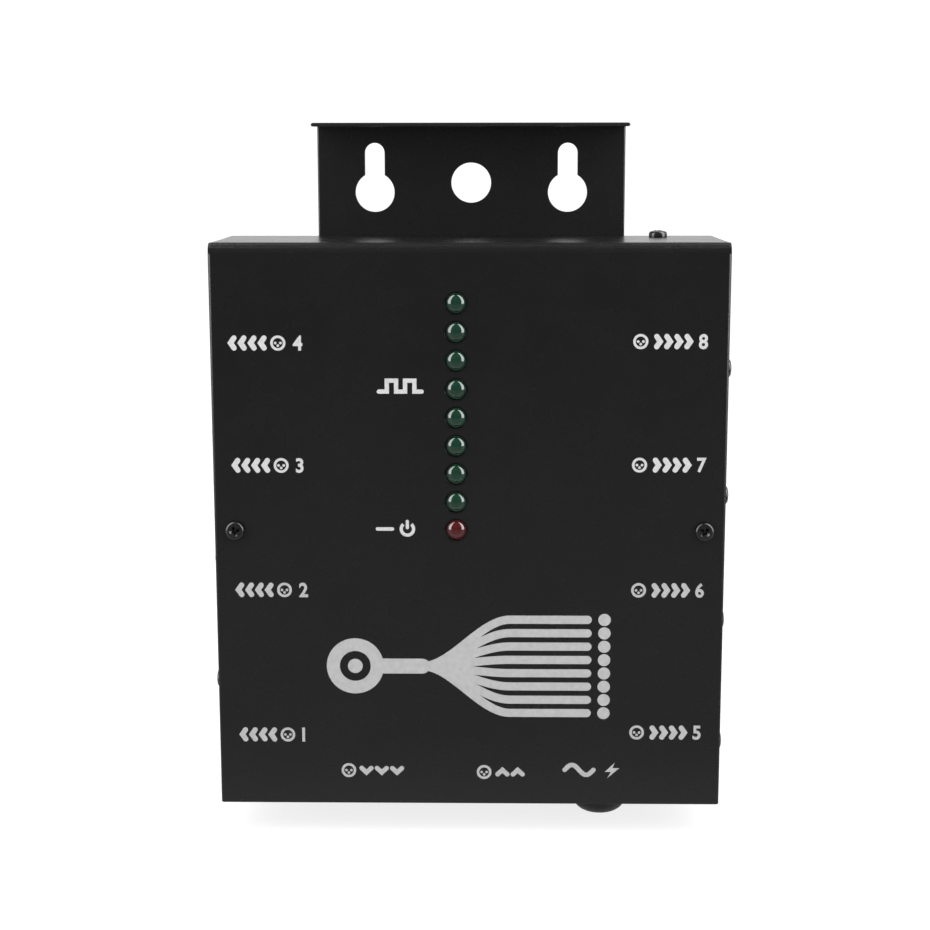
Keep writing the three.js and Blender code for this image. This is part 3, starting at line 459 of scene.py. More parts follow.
def rounded(points, radius, steps=4, closed=True):
    """An outline whose corners are rounded with one radius, less where a side is short."""
    result = []
    points = [Vector(point) for point in points]
    points = [point for i, point in enumerate(points) if (point - points[i - 1]).length > MERGE]
    count = len(points)
    for i, here in enumerate(points):
        if not closed and i in (0, count - 1):
            result.append(tuple(here))
            continue
        before = points[i - 1] - here
        after = points[(i + 1) % count] - here
        angle = before.angle(after)
        reach = min(radius / tan(angle / 2), ROUND_SHARE * min(before.length, after.length))
        if angle > NEARLY_STRAIGHT or reach <= 0:
            result.append(tuple(here))
            continue
        start = here + before.normalized() * reach
        end = here + after.normalized() * reach
        for k in range(steps + 1):
            share = k / steps
            result.append(tuple(start.lerp(here, share).lerp(here.lerp(end, share), share)))
    return result


def add_prism(bm, outline, low, high, order=ALONG_Z):
    """A closed prism. The order says which of across, up and along it each axis takes."""
    rings = [[bm.verts.new([(u, v, w)[k] for k in order]) for u, v in outline] for w in (low, high)]
    bm.faces.new(rings[0][::-1])
    bm.faces.new(rings[1])
    count = len(outline)
    for i in range(count):
        j = (i + 1) % count
        bm.faces.new((rings[0][i], rings[0][j], rings[1][j], rings[1][i]))


def prism(outline, low, high, order=ALONG_Z, name="shape", matrix=None):
    bm = bmesh.new()
    add_prism(bm, outline, low, high, order)
    return made(bm, name, matrix)


def add_block(bm, low, high):
    outline = [(low[0], low[1]), (high[0], low[1]), (high[0], high[1]), (low[0], high[1])]
    add_prism(bm, outline, low[2], high[2])


def block(low, high):
    bm = bmesh.new()
    add_block(bm, low, high)
    return made(bm)


def add_turned(bm, profile, sides, waviness=None):
    """Turns points of radius and height about Z. Points on the axis close the shape."""
    rings = []
    for radius, height in profile:
        if radius < ON_AXIS:
            rings.append([bm.verts.new((0, 0, height))])
            continue
        ring = []
        for i in range(sides):
            turn = 2 * pi * i / sides
            reach = radius - (waviness(turn, radius, height) if waviness else 0)
            ring.append(bm.verts.new((reach * cos(turn), reach * sin(turn), height)))
        rings.append(ring)
    pairs = list(zip(rings, rings[1:]))
    if profile[0][0] > ON_AXIS:
        pairs.append((rings[-1], rings[0]))
    for lower, upper in pairs:
        for i in range(sides):
            j = (i + 1) % sides
            corners = [ring[k % len(ring)] for ring, k in ((lower, i), (lower, j), (upper, j), (upper, i))]
            corners = list(dict.fromkeys(corners))
            if len(corners) > 2:
                bm.faces.new(corners)


def turned(profile, sides, name="shape", waviness=None, matrix=None):
    bm = bmesh.new()
    add_turned(bm, profile, sides, waviness)
    return made(bm, name, matrix)


def rod(diameter, low, high, sides=HOLE_SIDES, matrix=None):
    radius = diameter / 2
    return turned([(0, low), (radius, low), (radius, high), (0, high)], sides, matrix=matrix)


def frame_at(position, outward, upright):
    """Turns a piece drawn about Z so that its Z points along outward and its Y along upright."""
    turn = Matrix((upright.cross(outward), upright, outward)).transposed().to_4x4()
    return Matrix.Translation(position) @ turn


def facing(x, y, z):
    """The frame of a piece that stands out towards the viewer."""
    return frame_at(Vector((x, y, z)), FORWARD, UP)


def at(x, y, z=0, turn=0):
    """A frame at a place, turned about Z by an angle in degrees."""
    return Matrix.Translation((x, y, z)) @ Matrix.Rotation(radians(turn), 4, "Z")


def settled(obj):
    """Applies the object's place and its modifiers to its mesh."""
    bpy.context.view_layer.update()
    graph = bpy.context.evaluated_depsgraph_get()
    evaluated = obj.evaluated_get(graph)
    mesh = bpy.data.meshes.new_from_object(evaluated, preserve_all_data_layers=True, depsgraph=graph)
    mesh.transform(obj.matrix_world)
    obj.modifiers.clear()
    old = obj.data
    obj.data = mesh
    obj.matrix_world = Matrix.Identity(4)
    if old.users == 0:
        bpy.data.meshes.remove(old)
    return obj


def combined(obj, others, operation):
    """Joins other closed solids to the object, or cuts them out of it, and removes them."""
    for other in others:
        modifier = obj.modifiers.new("combine", "BOOLEAN")
        modifier.operation = operation
        modifier.solver = "EXACT"
        modifier.object = other
    settled(obj)
    drop(*others)
    return obj


def united(objects):
    """One object holding several separate closed solids that don't touch."""
    bm = bmesh.new()
    for obj in objects:
        bpy.context.view_layer.update()
        mesh = obj.data.copy()
        mesh.transform(obj.matrix_world)
        bm.from_mesh(mesh)
        bpy.data.meshes.remove(mesh)
        drop(obj)
    mesh = bpy.data.meshes.new("united")
    bm.to_mesh(mesh)
    bm.free()
    return new_object("united", mesh)


def cut_out(obj, cutters):
    """Cuts several shapes that don't touch out of the object at once."""
    return combined(obj, [united(cutters)], "DIFFERENCE")


def weigh_edges(obj, angle, share):
    """Marks each sharp edge with its share of the widest rounding."""
    bm = bmesh.new()
    bm.from_mesh(obj.data)
    layer = bm.edges.layers.float.new("bevel_weight_edge")
    for edge in bm.edges:
        if len(edge.link_faces) == 2 and edge.calc_face_angle() > angle:
            edge[layer] = share((edge.verts[0].co + edge.verts[1].co) / 2)
    bm.to_mesh(obj.data)
    bm.free()


def shaded(obj):
    obj.data.shade_smooth()
    obj.data.set_sharp_from_angle(angle=SHARP_ANGLE)
    weighted = obj.modifiers.new("shading", "WEIGHTED_NORMAL")
    weighted.keep_sharp = True
    weighted.weight = 80
    return settled(obj)


def softened(obj, width, segments=2, share=None):
    """Rounds the sharp edges a little and evens the shading."""
    if share:
        weigh_edges(obj, SOFTENED_ANGLE, share)
    bevel = obj.modifiers.new("edges", "BEVEL")
    bevel.width = width
    bevel.segments = segments
    bevel.limit_method = "WEIGHT" if share else "ANGLE"
    bevel.angle_limit = SOFTENED_ANGLE
    bevel.miter_outer = "MITER_ARC"
    bevel.use_clamp_overlap = False
    return shaded(settled(obj))


def copy_at(name, source, matrix):
    obj = new_object(name, source.data)
    obj.matrix_world = matrix
    return obj


def painted(obj, *names):
    """Gives the piece's mesh these looks and no others."""
    obj.data.materials.clear()
    for name in names:
        obj.data.materials.append(looks[name])
    return obj


def dressed(obj, nodes=(), body="housing"):
    """Lets a piece ride on its body and hides the nodes of the imported model that it stands for."""
    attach(obj, body)
    if nodes:
        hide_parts(*nodes)


# Materials
def fill(tree, node, inputs):
    """Sets inputs of a shader node, each to a value or to what another node puts out."""
    for name, value in inputs.items():
        if isinstance(value, bpy.types.NodeSocket):
            tree.links.new(value, node.inputs[name])
        else:
            node.inputs[name].default_value = value
    return node


def output_of(tree, kind, inputs, output, operation=None):
    """What a new shader node of this kind puts out."""
    node = tree.nodes.new(f"ShaderNode{kind}")
    if operation:
        node.operation = operation
    return fill(tree, node, inputs).outputs[output]


def new_material(name):
    """A material, its node tree and its shader."""
    material = bpy.data.materials.new(name)
    material.use_nodes = True
    return material, material.node_tree, material.node_tree.nodes["Principled BSDF"]


def noise(tree, scale, detail=2.0):
    """A noise pattern in the piece's own metres: scale is its count of features per metre."""
    place = output_of(tree, "TexCoord", {}, "Object")
    return output_of(tree, "TexNoise", {"Vector": place, "Scale": scale, "Detail": detail}, "Fac")


def combination(tree, operation, first, second):
    """One arithmetic operation on two levels."""
    return output_of(tree, "Math", {0: first, 1: second}, 0, operation)


def span(tree, source, reach, levels):
    """A level that runs between two values while its source crosses its reach."""
    limits = dict(zip(("From Min", "From Max", "To Min", "To Max"), (*reach, *levels)))
    return output_of(tree, "MapRange", {"Value": source, **limits}, "Result")


def made_look(name, surface, low, high, roughness, grain=None):
    """A material whose colour and roughness drift between two values, over a fine grain."""
    scale, detail, rough_scale, grain_scale, depth, strength, metallic, specular = SURFACES[surface]
    material, tree, node = new_material(name)
    ramp = tree.nodes.new("ShaderNodeValToRGB")
    for element, place, colour in zip(ramp.color_ramp.elements, NOISE_REACH, (low, high)):
        element.position = place
        element.color = (*(colour if isinstance(colour, tuple) else (colour,) * 3), 1)
    fill(tree, ramp, {"Fac": noise(tree, scale, detail)})
    fill(tree, node, {
        "Base Color": ramp.outputs["Color"],
        "Roughness": span(tree, noise(tree, rough_scale), NOISE_REACH, roughness),
        "Metallic": metallic,
        "Specular IOR Level": specular,
    })
    if surface == "lens":
        fill(tree, node, LENS_SCATTER)
        return material
    bumps = {"Height": noise(tree, grain or grain_scale), "Strength": strength, "Distance": depth}
    fill(tree, node, {"Normal": output_of(tree, "Bump", bumps, "Normal")})
    return material


looks = {name: made_look(name, *row) for name, row in LOOKS.items()}


# Connector places on the three walls
def wall_frames():
    """The frame of each connector by its name."""
    frames = {}
    for side, outward, first in ((-1, LEFT, 1), (1, RIGHT, 1 + OUTPUTS_PER_SIDE)):
        for i in range(OUTPUTS_PER_SIDE):
            height = OUTPUT_MIDDLE + (i - (OUTPUTS_PER_SIDE - 1) / 2) * OUTPUT_PITCH
            place = Vector((side * HALF_WIDTH, SOCKET_Y, height))
            frames[f"output_{first + i}"] = frame_at(place, outward, FORWARD)
    for name, x in (("thru", THRU_X), ("input", INPUT_X), ("gland", GLAND_X)):
        frames[name] = frame_at(Vector((x, SOCKET_Y, -HALF_HEIGHT)), DOWN, FORWARD)
    return frames


frames = wall_frames()
sockets = [name for name in frames if name not in ("input", "gland")]
lamp_heights = [LOWEST_LAMP + i * LAMP_PITCH for i in range(LAMP_COUNT)]


# Front cover
def rounded_block():
    """A solid block with the wide bend at the top of the front, and rounded side edges."""
    bend = (FRONT + COVER_BEND, HALF_HEIGHT - COVER_BEND)
    outline = [(COVER_BACK, -HALF_HEIGHT), (COVER_BACK, HALF_HEIGHT)]
    outline += arc(bend, COVER_BEND, 90, 180, BEND_STEPS) + [(FRONT, -HALF_HEIGHT)]
    bm = bmesh.new()
    add_prism(bm, outline, -HALF_WIDTH, HALF_WIDTH, ALONG_X)
    edges = []
    for edge in bm.edges:
        ends = [vert.co for vert in edge.verts]
        at_side = all(abs(abs(end.x) - HALF_WIDTH) < NEAR for end in ends)
        at_back = all(abs(end.y - COVER_BACK) < NEAR for end in ends)
        at_foot = all(abs(end.z + HALF_HEIGHT) < NEAR for end in ends)
        if at_side and not at_back and not at_foot:
            edges.append(edge)
    bmesh.ops.bevel(bm, geom=edges, offset=COVER_SIDE_ROUND, segments=8, profile=0.5, affect="EDGES")
    return made(bm, "front_cover_sheet")


def lamp_hole_cutter(height):
    """Cuts a hole whose outer edge is rounded. Its frame sits on the outer face."""
    radius, edge = LAMP_HOLE_DIAMETER / 2, LAMP_HOLE_EDGE
    profile = [(0, -COVER_SHEET - OVERRUN), (radius, -COVER_SHEET - OVERRUN)]
    profile += arc((radius + edge, -edge), edge, 180, 95, 5)
    profile += [(radius + edge, OVERRUN), (0, OVERRUN)]
    place = facing(LAMP_X + LAMP_HOLE_SHIFT[0], FRONT, height + LAMP_HOLE_SHIFT[1])
    return turned(profile, HOLE_SIDES, matrix=place)


def cover_hollow():
    """What the folded sheet leaves empty behind its front and under its top."""
    back, front = COVER_BACK + OVERRUN, FRONT + COVER_SHEET
    low, high = -HALF_HEIGHT - OVERRUN, HALF_HEIGHT - COVER_SHEET
    inner = COVER_BEND - COVER_SHEET
    outline = [(back, low), (back, high)]
    outline += arc((front + inner, high - inner), inner, 90, 180, BEND_STEPS // 2) + [(front, low)]
    return prism(outline, -HALF_WIDTH - OVERRUN, HALF_WIDTH + OVERRUN, ALONG_X)


def case_screw_holes(front, top):
    """Holes for the three case screws in sheets whose outer faces lie at front and top."""
    places = [facing(side * FRONT_SCREW_X, front, 0) for side in SIDES]
    places.append(at(TOP_SCREW.x, TOP_SCREW.y, top))
    return [rod(SCREW_HOLE, -HOLE_REACH, HOLE_REACH, SMALL_SIDES, place) for place in places]


def make_cover():
    cover = combined(rounded_block(), [cover_hollow()], "DIFFERENCE")
    lamp_holes = [lamp_hole_cutter(height) for height in lamp_heights]
    cut_out(cover, lamp_holes + case_screw_holes(FRONT, HALF_HEIGHT))
    softened(cover, COVER_EDGE_ROUND, 3)
    dressed(painted(cover, "black_coat"), ["front_cover"])


# Chassis
def tray_outline():
    """Section of the back plate and side walls in X and Y."""
    inner = HALF_WIDTH - CHASSIS_SHEET
    bend_x = HALF_WIDTH - BEND_RADIUS
    inner_bend = BEND_RADIUS - CHASSIS_SHEET
    outline = [(-HALF_WIDTH, WALL_FRONT), (-inner, WALL_FRONT)]
    outline += arc((-bend_x, -BEND_RADIUS), inner_bend, 180, 90, 4)
    outline += arc((bend_x, -BEND_RADIUS), inner_bend, 90, 0, 4)
    outline += [(inner, WALL_FRONT), (HALF_WIDTH, WALL_FRONT)]
    outline += arc((bend_x, -BEND_RADIUS), BEND_RADIUS, 0, 90, BEND_STEPS)
    outline += arc((-bend_x, -BEND_RADIUS), BEND_RADIUS, 90, 180, BEND_STEPS)
    return outline


def tab_outline():
    """Section of the hanging tab and its lip in Y and Z."""
    foot = HALF_HEIGHT - 2 * CHASSIS_SHEET
    lip_top = TAB_TOP - LIP_DROP
    inner = (-CHASSIS_SHEET - LIP_INNER_BEND, TAB_TOP - LIP_SHEET - LIP_INNER_BEND)
    outline = [(0, foot)] + arc((-BEND_RADIUS, TAB_TOP - BEND_RADIUS), BEND_RADIUS, 0, 90, BEND_STEPS)
    outline += [(LIP_FRONT, lip_top), (LIP_FRONT, lip_top - LIP_EDGE)]
    outline += arc(inner, LIP_INNER_BEND, 90, 0, 6) + [(-CHASSIS_SHEET, foot)]
    return outline


def flange_holes(diameter, low, high):
    return [rod(diameter, low, high, SMALL_SIDES, at(*place)) for place in FLANGE_SCREWS]


def wall_cutter(matrix, has_latch):
    """What a connector takes out of the wall that it is fixed in."""
    low, high = -CHASSIS_SHEET - OVERRUN, OVERRUN
    nose = rod(NOSE_DIAMETER + 2 * FIT_GAP, low, high, BODY_SIDES)
    if has_latch:
        half = LATCH_WIDTH / 2 + 2 * FIT_GAP + GUIDE_WALL
        top = LATCH_PLACE + LATCH_THICKNESS / 2 + 2 * FIT_GAP + GUIDE_WALL
        combined(nose, [block((-half, 0, low), (half, top, high))], "UNION")
    cutter = united([nose] + flange_holes(SCREW_HOLE, low, high))
    cutter.matrix_world = matrix
    return settled(cutter)


def keyhole_cutter(x):
    middle = HALF_HEIGHT + KEYHOLE_HEIGHT
    half = KEYHOLE_SLOT_WIDTH / 2
    radius = KEYHOLE_DIAMETER / 2
    meet = degrees(asin(half / radius))
    outline = arc((x, middle), radius, 90 + meet, 450 - meet, HOLE_SIDES)
    outline += arc((x, middle + KEYHOLE_SLOT_LENGTH), half, 0, 180, HOLE_SIDES // 4)
    return prism(outline, -CHASSIS_SHEET - OVERRUN, OVERRUN, ALONG_Y)


def chassis_edge_share(place):
    """The tab's side edges are the roundest, and its holes and the lip's lower edge the sharpest."""
    if place.z < HALF_HEIGHT + CHASSIS_SHEET:
        return CASE_EDGE_SHARE
    if place.y < LIP_FRONT + CHASSIS_SHEET / 2:
        return LIP_EDGE_SHARE if place.z > TAB_TOP - LIP_SHEET else LIP_FOOT_SHARE
    if abs(place.x) > TAB_WIDTH / 2 - CHASSIS_SHEET / 2:
        return 1 if place.y > -BEND_RADIUS else LIP_EDGE_SHARE
    return HOLE_EDGE_SHARE


def shoulder_cutter(side):
    """Lowers the back plate beside the tab, so that it stays behind the rounded cover."""
    near, far = sorted((side * (TAB_WIDTH / 2 - CHASSIS_SHEET / 2), side * (HALF_WIDTH + OVERRUN)))
    low = (near, -CHASSIS_SHEET - OVERRUN, HALF_HEIGHT - PLATE_STEP)
    return block(low, (far, OVERRUN, HALF_HEIGHT + OVERRUN))


def front_lug(side):
    """The lug behind the front cover that a front screw bites into."""
    ends = HALF_WIDTH - CHASSIS_SHEET / 2, HALF_WIDTH - CHASSIS_SHEET - LUG_WIDTH
    near, far = sorted(side * end for end in ends)
    return block((near, WALL_FRONT, -LUG_HEIGHT / 2), (far, WALL_FRONT + CHASSIS_SHEET, LUG_HEIGHT / 2))


def top_lug():
    low = (TOP_SCREW.x - LUG_HEIGHT / 2, TOP_SCREW.y - LUG_WIDTH / 2, WALL_TOP - CHASSIS_SHEET)
    return block(low, (TOP_SCREW.x + LUG_HEIGHT / 2, -CHASSIS_SHEET / 2, WALL_TOP))


def seam_cutter(side):
    """The seam between a side wall and the bottom."""
    seam = side * (HALF_WIDTH - CHASSIS_SHEET)
    low = (seam - SEAM_WIDTH / 2, WALL_FRONT - OVERRUN, -HALF_HEIGHT - OVERRUN)
    return block(low, (seam + SEAM_WIDTH / 2, -BEND_RADIUS, SEAM_DEPTH - HALF_HEIGHT))


def make_chassis():
    chassis = prism(tray_outline(), -HALF_HEIGHT, HALF_HEIGHT, name="chassis_sheet")
    low = (-HALF_WIDTH - OVERRUN, WALL_FRONT - OVERRUN, WALL_TOP)
    above = block(low, (HALF_WIDTH + OVERRUN, -CHASSIS_SHEET - FIT_GAP, HALF_HEIGHT + OVERRUN))
    combined(chassis, [above] + [shoulder_cutter(side) for side in SIDES], "DIFFERENCE")
    inner, back = HALF_WIDTH - CHASSIS_SHEET / 2, -CHASSIS_SHEET / 2
    base = block((-inner, WALL_FRONT, -HALF_HEIGHT), (inner, back, CHASSIS_SHEET - HALF_HEIGHT))
    tab = prism(tab_outline(), -TAB_WIDTH / 2, TAB_WIDTH / 2, ALONG_X)
    combined(chassis, [base, tab] + [front_lug(side) for side in SIDES] + [top_lug()], "UNION")
    cuts = [keyhole_cutter(side * KEYHOLE_SPACING / 2) for side in SIDES]
    place = facing(0, 0, HALF_HEIGHT + CLAMP_HOLE_HEIGHT)
    cuts.append(rod(CLAMP_HOLE_DIAMETER, -HOLE_REACH, HOLE_REACH, matrix=place))
    cuts += [wall_cutter(frames[name], name in sockets) for name in frames if name != "gland"]
    cuts.append(rod(GLAND_THREAD + 2 * FIT_GAP, -LUG_HEIGHT, LUG_HEIGHT, matrix=frames["gland"]))
    cuts += case_screw_holes(WALL_FRONT, WALL_TOP) + [seam_cutter(side) for side in SIDES]
    cut_out(chassis, cuts)
    softened(chassis, CHASSIS_EDGE_ROUND, 3, chassis_edge_share)
    # The lighter coat stands in for light on the shaded tab: painted light
    dressed(painted(chassis, "chassis_coat_painted_light"), ["rear_chassis"])


# Screws
def thread(radius, depth, height, end, pitch):
    """Profile of a thread from a height up to its end, and the height that it reached."""
    points = []
    while height < end:
        points += [(radius, height), (radius - depth, height + pitch / 2)]
        height += pitch
    return points, height


def screw_mesh(length, head_height=HEAD_HEIGHT):
    """A pan head screw with a cross recess. It seats at local zero."""
    head, shank = HEAD_DIAMETER / 2, SHANK_DIAMETER / 2
    top = FIT_GAP + head_height
    shoulder = min(HEAD_SHOULDER, 0.6 * head_height)
    crown = top - HEAD_CROWN
    points, _ = thread(shank, shank * 0.16, SCREW_PITCH - length, -SCREW_PITCH, SCREW_PITCH)
    profile = [(0, -length), (shank * 0.7, -length), (shank, SCREW_PITCH - length)] + points
    profile += [(shank, HEAD_SEAT), (head - HEAD_RIM, HEAD_SEAT), (head, HEAD_SEAT + HEAD_RIM)]
    profile += arc((head - shoulder, crown - shoulder), shoulder, 0, 80, 8)
    profile += [((head - shoulder) * 0.5, top - HEAD_CROWN * 0.3), (0, top)]
    screw = turned(profile, HEAD_SIDES)
    tip, reach, floor = RECESS_TIP / 2, RECESS_LENGTH / 2, top * (1 - RECESS_SHARE)
    outline = [(-reach, top + OVERRUN), (-reach, crown), (-tip, floor)]
    outline += [(-x, z) for x, z in reversed(outline)]
    half = RECESS_WIDTH / 2
    arms = [prism(outline, -half, half, ALONG_Y, matrix=at(0, 0, turn=turn)) for turn in (0, 90)]
    return shaded(combined(screw, arms, "DIFFERENCE"))


def make_case_screws():
    source = painted(screw_mesh(SCREW_LENGTH), "black_screw")
    places = {
        "front_screw_left": (facing(-FRONT_SCREW_X, FRONT, 0), 17),
        "front_screw_right": (facing(FRONT_SCREW_X, FRONT, 0), 52),
        "top_screw": (frame_at(TOP_SCREW, UP, BACK), 33),
    }
    for name, (matrix, turn) in places.items():
        screw = copy_at(f"{name}_body", source, matrix @ at(0, 0, turn=turn))
        dressed(screw, [name])
    drop(source)


# Lamps
def lamp_source():
    radius, rim = LAMP_DIAMETER / 2, LAMP_RIM_DIAMETER / 2
    cap = arc((0, LAMP_LENGTH - LENS_CURVE), LENS_CURVE, degrees(acos(radius / LENS_CURVE)), 90, DOME_RINGS)
    profile = [(0, 0), (rim, 0), (rim, LAMP_RIM), (radius, LAMP_RIM), cap[0], cap[1]]
    profile = rounded(profile, LAMP_SHOULDER, 6, closed=False) + cap[2:]
    profile[-1] = (0, LAMP_LENGTH)
    return shaded(turned(profile, LENS_SIDES))


def leg_source():
    bm = bmesh.new()
    half = LEG_WIDTH / 2
    for side in SIDES:
        middle = side * LEG_SPACING / 2
        add_block(bm, (-half, middle - half, -LEG_LENGTH), (half, middle + half, -TUCK))
    return softened(made(bm), LEG_ROUND)


def make_lamps():
    lens, legs = lamp_source(), painted(leg_source(), "tinned_legs")
    base = FRONT - LAMP_PROUD + LAMP_LENGTH
    for i, height in enumerate(lamp_heights):
        name, look = (f"signal_lamp_{i}", "green_lens") if i else ("power_lamp", "red_lens")
        matrix = facing(LAMP_X, base, height)
        piece = copy_at(f"{name}_lens", lens, matrix)
        piece.data = lens.data.copy()
        dressed(painted(piece, look), [name])
        dressed(copy_at(f"{name}_legs", legs, matrix), [name])
    drop(lens, legs)


# Connectors
def shell_source(bore, has_latch):
    floor_hole, outer, inner = FLOOR_HOLE / 2, NOSE_DIAMETER / 2, bore / 2
    profile = [(floor_hole, -SHELL_DEPTH), (outer, -SHELL_DEPTH), (outer, NOSE_PROUD)]
    profile += [(inner, NOSE_PROUD), (inner, -BORE_DEPTH), (floor_hole, -BORE_DEPTH)]
    shell = turned(rounded(profile, SHELL_ROUND), BODY_SIDES)
    x, y = FLANGE_WIDTH / 2, FLANGE_LENGTH / 2
    outline = rounded([(-x, -y), (x, -y), (x, y), (-x, y)], FLANGE_CORNER, 8)
    flange = prism(outline, FLANGE_TOP - FLANGE_THICKNESS, FLANGE_TOP)
    combined(flange, [rod(bore + 2 * MM, -BORE_DEPTH, OVERRUN, BODY_SIDES)], "DIFFERENCE")
    combined(shell, [flange], "UNION")
    if has_latch:
        half = LATCH_WIDTH / 2 + FIT_GAP
        top = LATCH_PLACE + LATCH_THICKNESS / 2 + FIT_GAP
        floor = LATCH_PROUD - LATCH_LENGTH - LATCH_TRAVEL - 2 * FIT_GAP
        low = (-half - GUIDE_WALL, inner + GUIDE_INSET, floor - GUIDE_WALL)
        guide = block(low, (half + GUIDE_WALL, top + GUIDE_WALL, NOSE_PROUD))
        combined(shell, [guide], "UNION")
        slot = block((-half, LATCH_PLACE - LATCH_THICKNESS, floor), (half, top, OVERRUN))
        combined(shell, [slot], "DIFFERENCE")
    cut_out(shell, flange_holes(SHANK_DIAMETER + FIT_GAP / 3, FLANGE_TOP - 2 * FLANGE_THICKNESS, 0))
    return softened(shell, SHELL_EDGE_ROUND)


def contact_places():
    turns = [radians(turn) for turn in CONTACT_TURNS]
    return [(CONTACT_RADIUS * cos(turn), CONTACT_RADIUS * sin(turn)) for turn in turns]


def insert_body(face):
    """The insulating body that carries the contacts, up to its face."""
    radius = INSERT_DIAMETER / 2
    boss = FLOOR_HOLE / 2 - FIT_GAP
    seat = -BORE_DEPTH + FIT_GAP
    points = [(0, -SHELL_DEPTH), (boss, -SHELL_DEPTH), (boss, seat)]
    points += [(radius, seat), (radius, face), (0, face)]
    return turned(rounded(points, INSERT_ROUND, 4, closed=False), BODY_SIDES)


def socket_insert_source():
    face = -INSERT_RECESS
    insert = insert_body(face)
    low, radius = face - CONTACT_DEPTH, CONTACT_HOLE / 2
    profile = [(0, low), (radius, low), (radius, face - FUNNEL_DEPTH)]
    profile += [(radius + FUNNEL_SPREAD, face + FUNNEL_OVERRUN), (0, face + OVERRUN)]
    cuts = [turned(profile, SMALL_SIDES, matrix=at(*place)) for place in contact_places()]
    edge = INSERT_DIAMETER / 2
    key_low = (-KEY_WIDTH / 2, edge - KEY_DEPTH, low)
    cuts.append(block(key_low, (KEY_WIDTH / 2, edge + OVERRUN, face + OVERRUN)))
    return softened(cut_out(insert, cuts), INSERT_EDGE_ROUND)


def contacts_source(profile):
    """Three turned contacts with their solder tails."""
    bm = bmesh.new()
    half = TAIL_WIDTH / 2
    for x, y in contact_places():
        first = len(bm.verts)
        add_turned(bm, profile, SMALL_SIDES)
        bm.verts.ensure_lookup_table()
        bmesh.ops.translate(bm, verts=bm.verts[first:], vec=(x, y, 0))
    for x, y in contact_places():
        add_block(bm, (x - half, y - half, -TAIL_END), (x + half, y + half, TUCK - SHELL_DEPTH))
    return shaded(made(bm))


def sleeve_profile():
    """Section of a socket's contact sleeve, just under the socket's face."""
    outer, inner = (CONTACT_HOLE / 2 - inset for inset in SLEEVE_INSETS)
    top, bottom = -INSERT_RECESS - SLEEVE_TOP, -INSERT_RECESS - CONTACT_DEPTH + SLEEVE_FOOT
    return rounded([(inner, bottom), (outer, bottom), (outer, top), (inner, top)], SLEEVE_ROUND, 2)


def pin_profile():
    """Section of a round tipped pin of the input plug."""
    radius = PIN_DIAMETER / 2
    tip = -PIN_RECESS
    profile = [(0, PLUG_FACE + TUCK), (radius, PLUG_FACE + TUCK)] + arc((0, tip - radius), radius, 0, 90, 8)
    profile[-1] = (0, tip)
    return profile


def latch_outline():
    """Section of the push tab in Y and Z: a top that slopes away from the bore, with ribs."""
    near = LATCH_PLACE - LATCH_THICKNESS / 2
    far = LATCH_PLACE + LATCH_THICKNESS / 2
    bottom = LATCH_PROUD - LATCH_LENGTH
    high, low = LATCH_PROUD - LATCH_INSET, LATCH_PROUD - LATCH_SLOPE
    outline = [(near, bottom), (far, bottom), (far, low)]
    steps = 4 * LATCH_RIBS + 1
    for i in range(1, steps):
        share = i / steps
        dip = RIB_DEPTH if i % 4 in (2, 3) else 0
        outline.append((far + (near - far) * share, low + (high - low) * share - dip))
    return outline + [(near, high)]


def latch_source():
    """Push tab with grip ribs and a hook that holds the plug."""
    half = LATCH_WIDTH / 2
    near = LATCH_PLACE - LATCH_THICKNESS / 2
    latch = prism(latch_outline(), -half, half, ALONG_X)
    low = (-half / 2, near - HOOK_REACH, -HOOK_DEPTH - HOOK_THICKNESS)
    combined(latch, [block(low, (half / 2, LATCH_PLACE, -HOOK_DEPTH))], "UNION")
    return softened(latch, LATCH_EDGE_ROUND)


def flange_screw_source(head_height):
    """The two screws that hold a connector, seen from outside the wall."""
    first = screw_mesh(FLANGE_SCREW_LENGTH, head_height)
    second = copy_at("shape", first, Matrix.Identity(4))
    second.data = first.data.copy()
    for screw, place, turn in zip((first, second), FLANGE_SCREWS, FLANGE_SCREW_TURNS):
        screw.matrix_world = at(*place, turn=turn)
    return shaded(united([first, second]))


def make_connectors():
    low_screws, high_screws = (flange_screw_source(height) for height in HEAD_HEIGHTS)
    painted(high_screws, "black_screw")
    parts = (
        ("shell", "shell", shell_source(SOCKET_BORE, True), "connector_black", sockets),
        ("insert", "insert", socket_insert_source(), "black_plastic", sockets),
        ("latch", "latch", latch_source(), "latch_metal", sockets),
        ("sleeves", "insert", contacts_source(sleeve_profile()), "contact_gold", sockets),
        ("screws", "shell", low_screws, "black_screw", sockets),
        ("shell", "shell", shell_source(PLUG_BORE, False), "connector_black", ["input"]),
        ("insert", "insert", shaded(insert_body(PLUG_FACE)), "black_plastic", ["input"]),
        ("pins", "insert", contacts_source(pin_profile()), "nickel", ["input"]),
        ("screws", "shell", low_screws, "black_screw", ["input"]),
    )
    for part, stands_for, source, look, names in parts:
        painted(source, look)
        for name in names:
            shape = high_screws if part == "screws" and name in HIGH_SCREWS else source
            piece = copy_at(f"{name}_{part}_piece", shape, frames[name])
            body = f"{name}_latch" if part == "latch" else "housing"
            dressed(piece, [f"{name}_{stands_for}"], body)
    drop(high_screws, *{source for _, _, source, _, _ in parts})


# Cable gland
def nut_grip(turn, radius, height):
    """Depth of the grip flutes round the nut, which fade out below its dome."""
    if radius < GLAND_FLAT_SHARE * GLAND_RADIUS:
        return 0
    fade = 1 - min(1, max(0, (height - COLLAR_TOP - FIT_GAP - FLUTE_LENGTH) / FLUTE_FADE))
    return FLUTE_DEPTH * max(0, cos(FLUTE_COUNT * turn)) ** 2 * fade


